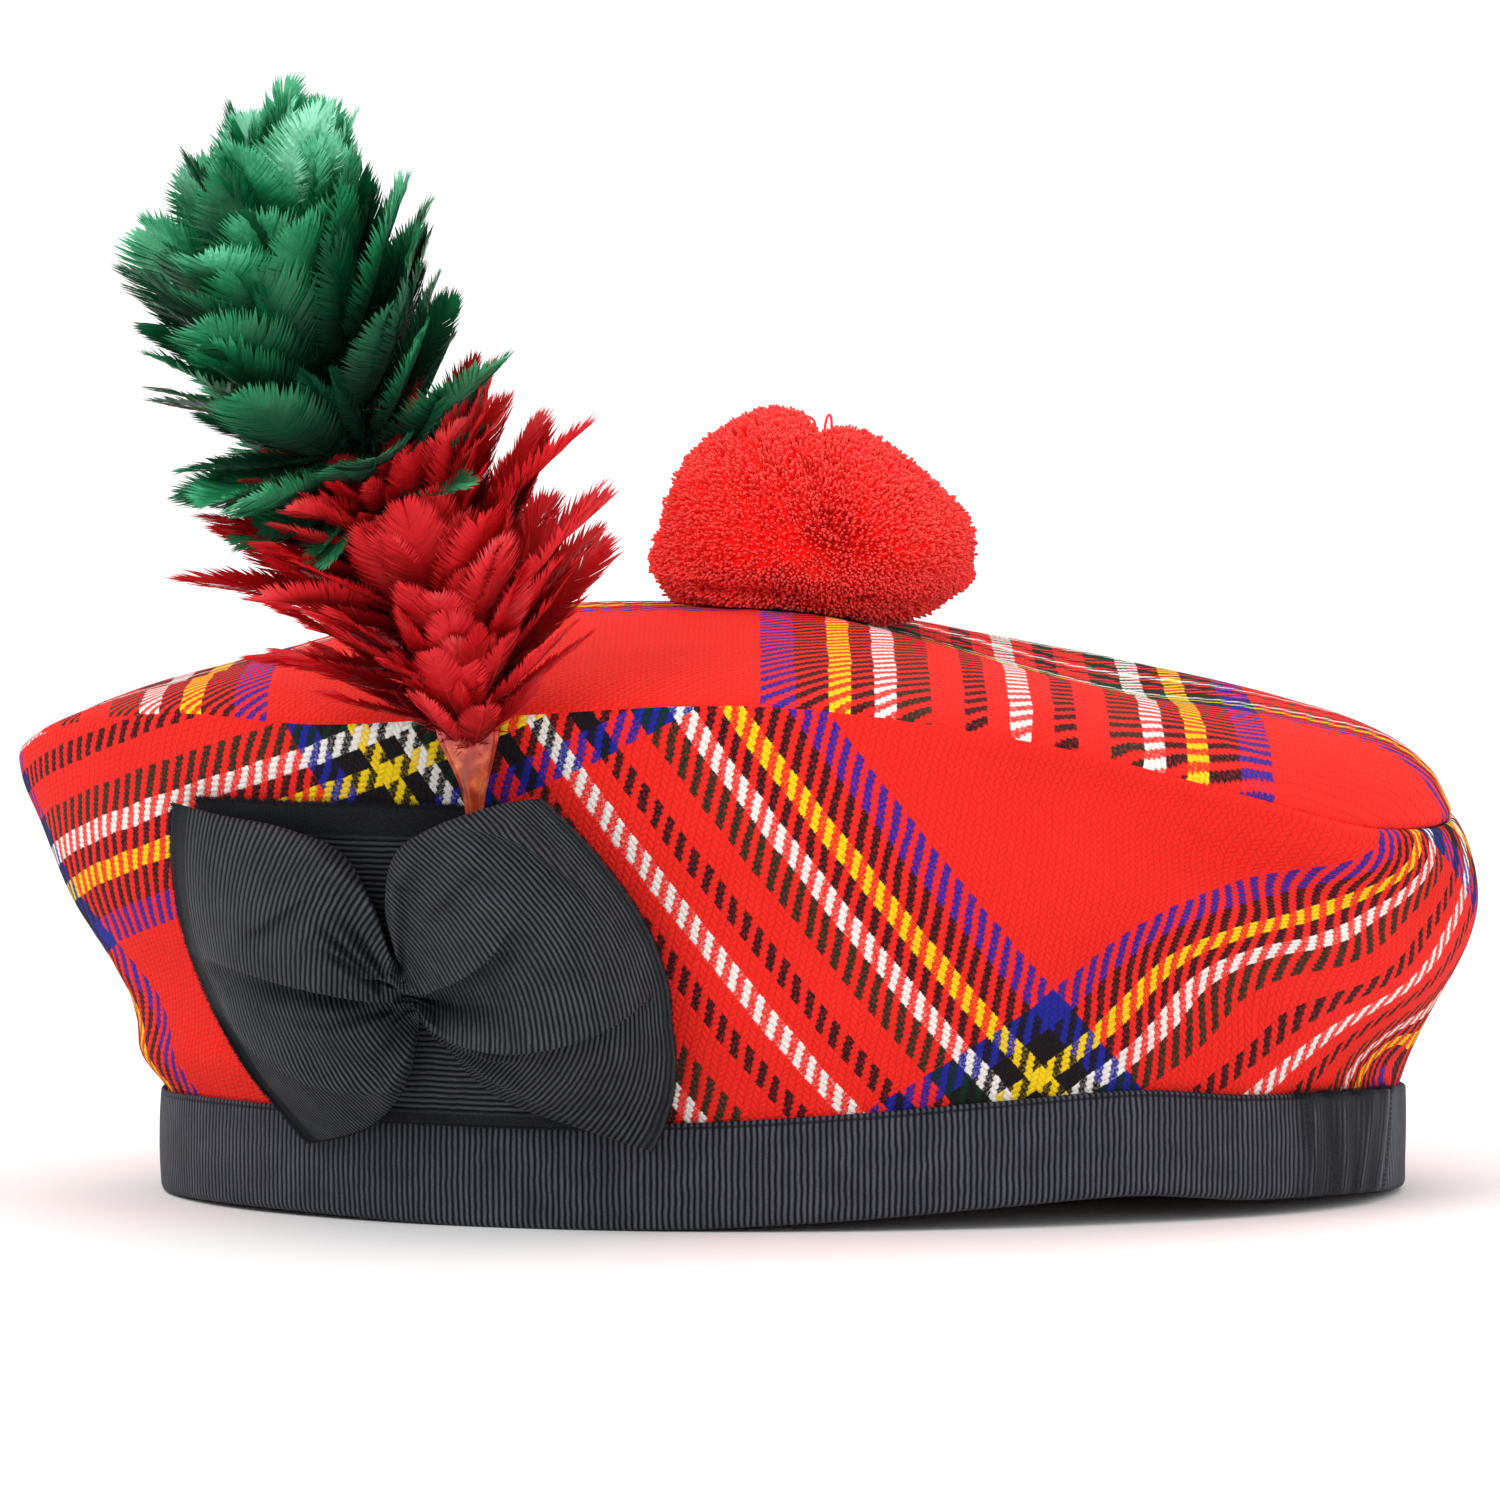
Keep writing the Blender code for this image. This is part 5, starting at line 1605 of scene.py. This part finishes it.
# Height over the pompom's widest level, in mm, from its front to its back
TOORIE_TOP = (
    # across, height
    (-1.00, 23.0),
    (-0.90, 25.0),
    (-0.80, 29.6),
    (-0.67, 31.0),
    (-0.50, 29.4),
    (-0.27, 28.6),
    (-0.12, 27.4),
    (0.03, 25.4),
    (0.20, 25.0),
    (0.46, 23.4),
    (0.75, 22.4),
    (1.00, 24.0),
)
# Furrows and clefts between tufts: a direction each, width and depth in mm
CLEFTS = (
    # x, y, z, to_x, to_y, to_z, width, depth
    (0.03, -0.10, 1.00, -0.05, -0.70, 0.70, 0.070, 0.9),
    (-0.05, -0.70, 0.70, 0.10, -0.94, 0.33, 0.055, 2.0),
    (0.10, -0.94, 0.33, 0.25, -0.96, 0.12, 0.050, 2.6),
    (0.03, -0.10, 1.00, 0.10, 0.75, 0.60, 0.080, 2.0),
    (-0.44, -0.35, 0.80, -0.36, -0.70, 0.62, 0.045, 2.2),
    (-0.70, -0.65, -0.30, -0.30, -0.90, -0.36, 0.080, 2.4),
    (0.24, -0.85, -0.45, 0.36, -0.85, -0.45, 0.045, 3.2),
    (0.70, -0.60, 0.38, 0.55, -0.62, 0.60, 0.040, 1.2),
    (-0.85, 0.40, 0.20, -0.40, 0.85, 0.30, 0.060, 1.8),
    (0.30, 0.90, 0.10, 0.80, 0.50, 0.25, 0.050, 1.6),
)
# Ends that were left uncut and stand out as loops: where, how wide and how tall in mm
LOOPS = (
    # x, y, z, wide, tall
    (-0.06, -0.25, 1.00, 3.6, 1.6),
    (0.09, -0.20, 1.00, 1.2, 3.0),
    (0.30, -0.10, 0.92, 2.0, 1.8),
    (0.64, -0.15, 0.72, 2.6, 1.2),
    (-0.97, -0.20, 0.45, 1.4, 2.4),
    (0.20, 0.70, 0.70, 2.2, 2.0),
)
LOOP_YARN = 0.26 * MM
LOOP_POINTS = 14
LOOP_SIDES = 5
# The core under the ends: how deep it lies, how much wider its clefts are, and its ball's divisions
CORE_DEPTH = 1.10 * MM
CORE_CLEFTS = 2.2
CORE_DIVISIONS = 4


def toorie_reach(direction):
    """Surface of the pompom: a squashed ball, higher in front, with a furrow over it."""
    x, y, z = direction[..., 0], direction[..., 1], direction[..., 2]
    above = along(TOORIE_TOP, 1, x) * MM
    below = TOORIE_WAIST * TOORIE_HEIGHT * (1 - TOORIE_SLOPE * (1 + x) / 2)
    blend = ease(z, -0.175, 0.35)
    return points(x * TOORIE_LENGTH / 2, y * TOORIE_WIDTH / 2, z * (below + (above - below) * blend))


def cleft_depth(direction, widened=1.0):
    """How far the pompom's clefts and lumps sink its surface."""
    depth = np.zeros(direction.shape[:-1])
    for row in CLEFTS:
        start, end = unit(np.array(row[:3])), unit(np.array(row[3:6]))
        run = end - start
        share = np.clip(((direction - start) @ run) / (run @ run), 0.0, 1.0)
        away = np.linalg.norm(direction - unit(start + share[..., None] * run), axis=-1)
        depth = depth + row[7] * MM * bell(away / row[6] / widened)
    x, y, z = direction[..., 0], direction[..., 1], direction[..., 2]
    lumps = np.sin(6.1 * x + 2.3 * z) * np.sin(7.3 * y - 3.1 * x) + 0.7 * np.sin(11 * z + 5 * x - 4 * y)
    return depth - 0.6 * MM * lumps


def yarn_finish():
    yarn = Finish("scarlet_yarn", roughness=0.92, specular=0.08, sheen=0.45, tint=(1.0, 0.30, 0.26, 1.0))
    outward, place = yarn.cloth()
    tone = yarn.node("ShaderNodeTexWhiteNoise", {1: math.floor(place)}, noise_dimensions="1D")
    fibre = yarn.noise(1500.0, 3.0)
    # Painted shade and light: each end is drawn darker towards its root, deep in the pompom, and lighter at
    # its cut tip.
    colour = yarn.ramp(outward, (
        (0.0, linear(253, 24, 24)), (0.45, linear(255, 42, 40)), (0.80, linear(255, 60, 56)),
        (1.0, linear(255, 88, 84))))
    shade = yarn.spread(tone, 0.0, 1.0, 0.94, 1.08) * yarn.spread(fibre, 0.3, 0.7, 0.94, 1.08)
    yarn.set("Base Color", yarn.mix(1.0, colour, shade, "MULTIPLY"))
    yarn.bump(fibre, 0.2 * MM)
    return yarn.material


def yarn_ends(middle):
    """Cut ends spread evenly over the pompom, each a short tube with its own lean and length."""
    rng = np.random.default_rng(7)
    index = np.arange(YARN_ENDS) + 0.5
    z = 1 - 2 * index / YARN_ENDS
    turn = index * math.pi * (3 - math.sqrt(5))
    flat = np.sqrt(1 - z ** 2)
    direction = np.stack((flat * np.cos(turn), flat * np.sin(turn), z), axis=-1)
    direction = unit(direction + rng.normal(0, 0.008, direction.shape))
    surface = toorie_reach(direction)
    radial = unit(surface)
    size = np.linalg.norm(surface, axis=1) - cleft_depth(direction) + rng.normal(0, YARN_UNEVEN, YARN_ENDS)
    tips = middle + radial * size[:, None]
    floor = top_height(tips[:, 0], tips[:, 1]) + TOORIE_SEAT / 2
    keep = tips[:, 2] > floor - YARN_TUCK
    tips[:, 2] = np.maximum(tips[:, 2], floor)
    radial, tips = radial[keep], tips[keep]
    count = len(tips)
    lean = unit(radial + rng.normal(0, YARN_LEAN, radial.shape))
    across = unit(np.cross(lean, (0.31, 0.52, 0.80)))
    other = np.cross(lean, across)
    spin = rng.uniform(0, 2 * math.pi / YARN_SIDES, count)
    rings = []
    for back, wide, slack, _ in YARN_RINGS:
        for corner in range(YARN_SIDES):
            angle = (spin + corner * 2 * math.pi / YARN_SIDES)[:, None]
            out = (across * np.cos(angle) + other * np.sin(angle)) * YARN / 2 * wide
            rings.append(tips + out + lean * (rng.normal(0, slack, count) - back)[:, None])
    starts = 3 * YARN_SIDES * np.arange(count)[:, None, None]
    sides = (grid_quads(3, YARN_SIDES, closed=True) + starts).reshape(-1, 4)
    caps = (np.arange(2 * YARN_SIDES, 3 * YARN_SIDES) + starts).reshape(-1, YARN_SIDES)
    outward = np.tile(np.repeat([row[3] for row in YARN_RINGS], YARN_SIDES), count)
    number = np.repeat(np.arange(count) + 0.5, 3 * YARN_SIDES)
    return np.stack(rings, axis=1).reshape(-1, 3), (sides, caps), np.stack((outward, number), axis=-1)


def yarn_core(middle):
    """The yarn's mass under its ends, sunk along the clefts and coloured like the ends' roots, in their
    painted shade.
    """
    work = bmesh.new()
    bmesh.ops.create_icosphere(work, subdivisions=CORE_DIVISIONS, radius=1.0)
    ball = np.array([vert.co[:] for vert in work.verts])
    faces = np.array([[vert.index for vert in face.verts] for face in work.faces])
    work.free()
    surface = toorie_reach(ball)
    sink = cleft_depth(ball, CORE_CLEFTS) + CORE_DEPTH
    verts = surface - unit(surface) * sink[:, None] + middle
    verts[:, 2] = np.maximum(verts[:, 2], top_height(verts[:, 0], verts[:, 1]) + TOORIE_SEAT / 2)
    return verts, (faces,), np.full((len(verts), 2), (0.05, 0.5))


def yarn_loops(middle):
    """The few uncut ends that stand out as loops."""
    table = np.array(LOOPS)
    way = unit(table[:, :3])
    foot = middle + toorie_reach(way) - way * 0.8 * MM
    beside = unit(np.cross(way, (0.15, 1.0, 0.1)))
    arc = np.linspace(-0.15 * math.pi, 1.15 * math.pi, LOOP_POINTS)
    wide, tall = table[:, 3, None] / 2 * MM, table[:, 4, None] * MM
    line = foot[:, None] + beside[:, None] * (wide * np.cos(arc))[..., None]
    line = line + way[:, None] * (tall * np.sin(arc))[..., None]
    run = unit(np.gradient(line, axis=1))
    off = unit(np.cross(run, (0.1, 1.0, 0.2)))
    tubes = tube(line, off, np.cross(run, off), LOOP_YARN, LOOP_YARN, LOOP_SIDES).reshape(-1, 3)
    starts = LOOP_POINTS * LOOP_SIDES * np.arange(len(LOOPS))[:, None, None]
    faces = (grid_quads(LOOP_POINTS, LOOP_SIDES, closed=True) + starts).reshape(-1, 4)
    return tubes, (faces,), np.full((len(tubes), 2), (0.9, 7.5))


def make_toorie():
    height = top_height(TOORIE_BACK, 0.0) + TOORIE_HEIGHT * (TOORIE_WAIST - TOORIE_SINK)
    middle = np.array((TOORIE_BACK, 0.0, height))
    verts, faces, corners = merged([yarn_ends(middle), yarn_core(middle), yarn_loops(middle)])
    add_piece("toorie_yarn", verts, faces, yarn_finish(), corners, "toorie")


# The photograph's view: the camera's place from the middle of the headband, and what it looks at
CAMERA_PLACE = (-0.006, -1.600, 0.165)
CAMERA_AIM = (-0.006, 0.0, 0.079)
CAMERA_LENS = 213.64
CAMERA_SENSOR = 36.0


def aimed(thing, place, target):
    """Puts a camera or light in the scene; both places are given from the headband's middle."""
    thing.location = Vector(HOME) + Vector(place)
    thing.rotation_euler = (Vector(target) - Vector(place)).to_track_quat("-Z", "Y").to_euler()
    bpy.context.scene.collection.objects.link(thing)


def make_camera():
    data = bpy.data.cameras.new("camera")
    data.lens = CAMERA_LENS
    data.sensor_width = CAMERA_SENSOR
    data.dof.use_dof = False
    camera = bpy.data.objects.new("camera", data)
    aimed(camera, CAMERA_PLACE, CAMERA_AIM)
    bpy.context.scene.camera = camera


def make_floor():
    """Pale paper that lies flat under the hat and turns up far behind it."""
    width, near, far, bend, height, steps = 6.0, -3.0, 1.6, 1.0, 3.0, 24
    profile = [(near, 0.0), (far, 0.0)]
    for step in range(1, steps + 1):
        turn = math.pi / 2 * step / steps
        profile.append((far + bend * math.sin(turn), bend * (1 - math.cos(turn))))
    profile.append((far + bend, height))
    verts = [(x, y, z) for y, z in profile for x in (-width, width)]
    faces = [(2 * i, 2 * i + 1, 2 * i + 3, 2 * i + 2) for i in range(len(profile) - 1)]
    finish = Finish("pale_paper", roughness=0.9, specular=0.1)
    grain = finish.noise(900.0, 2.0)
    finish.set("Base Color", finish.ramp(grain, ((0.3, linear(250, 250, 250)), (0.7, linear(253, 253, 253)))))
    finish.bump(grain, 0.05 * MM, 0.4)
    mesh = bpy.data.meshes.new("floor")
    mesh.from_pydata(verts, [], faces)
    mesh.shade_smooth()
    mesh.materials.append(finish.material)
    floor = bpy.data.objects.new("floor", mesh)
    bpy.context.scene.collection.objects.link(floor)


# Soft lights: place from the middle of the headband, size, power
LIGHTS = (
    # name, x, y, z, size, watts
    ("key", -1.3, -1.8, 1.9, 1.5, 34.0),
    ("fill", 1.7, -1.6, 0.9, 1.6, 14.0),
    ("above", 0.2, 0.3, 2.2, 1.8, 16.0),
)
LIGHTS_AIM = (0.0, 0.0, 0.07)
WORLD_STRENGTH = 0.80


def make_lights():
    for name, x, y, z, size, watts in LIGHTS:
        data = bpy.data.lights.new(name, "AREA")
        data.energy = watts
        data.size = size
        aimed(bpy.data.objects.new(name, data), (x, y, z), LIGHTS_AIM)
    world = bpy.data.worlds.new("world")
    world.use_nodes = True
    background = world.node_tree.nodes["Background"]
    background.inputs["Color"].default_value = (1.0, 1.0, 1.0, 1.0)
    background.inputs["Strength"].default_value = WORLD_STRENGTH
    bpy.context.scene.world = world
    bpy.context.scene.view_settings.view_transform = "Standard"


def make_bonnet():
    cloth = tartan()
    make_crown_side(cloth)
    make_crown_top(cloth)
    make_headband(grosgrain("band_grosgrain", linear(87, 90, 102), linear(12, 12, 16), hem=True))
    ribbon = grosgrain("bow_grosgrain", linear(76, 79, 86), linear(8, 9, 11))
    make_backing(ribbon)
    make_bow(ribbon)
    make_fibres(ribbon)
    make_hackle()
    make_toorie()
    make_floor()
    make_lights()
    make_camera()


make_bonnet()
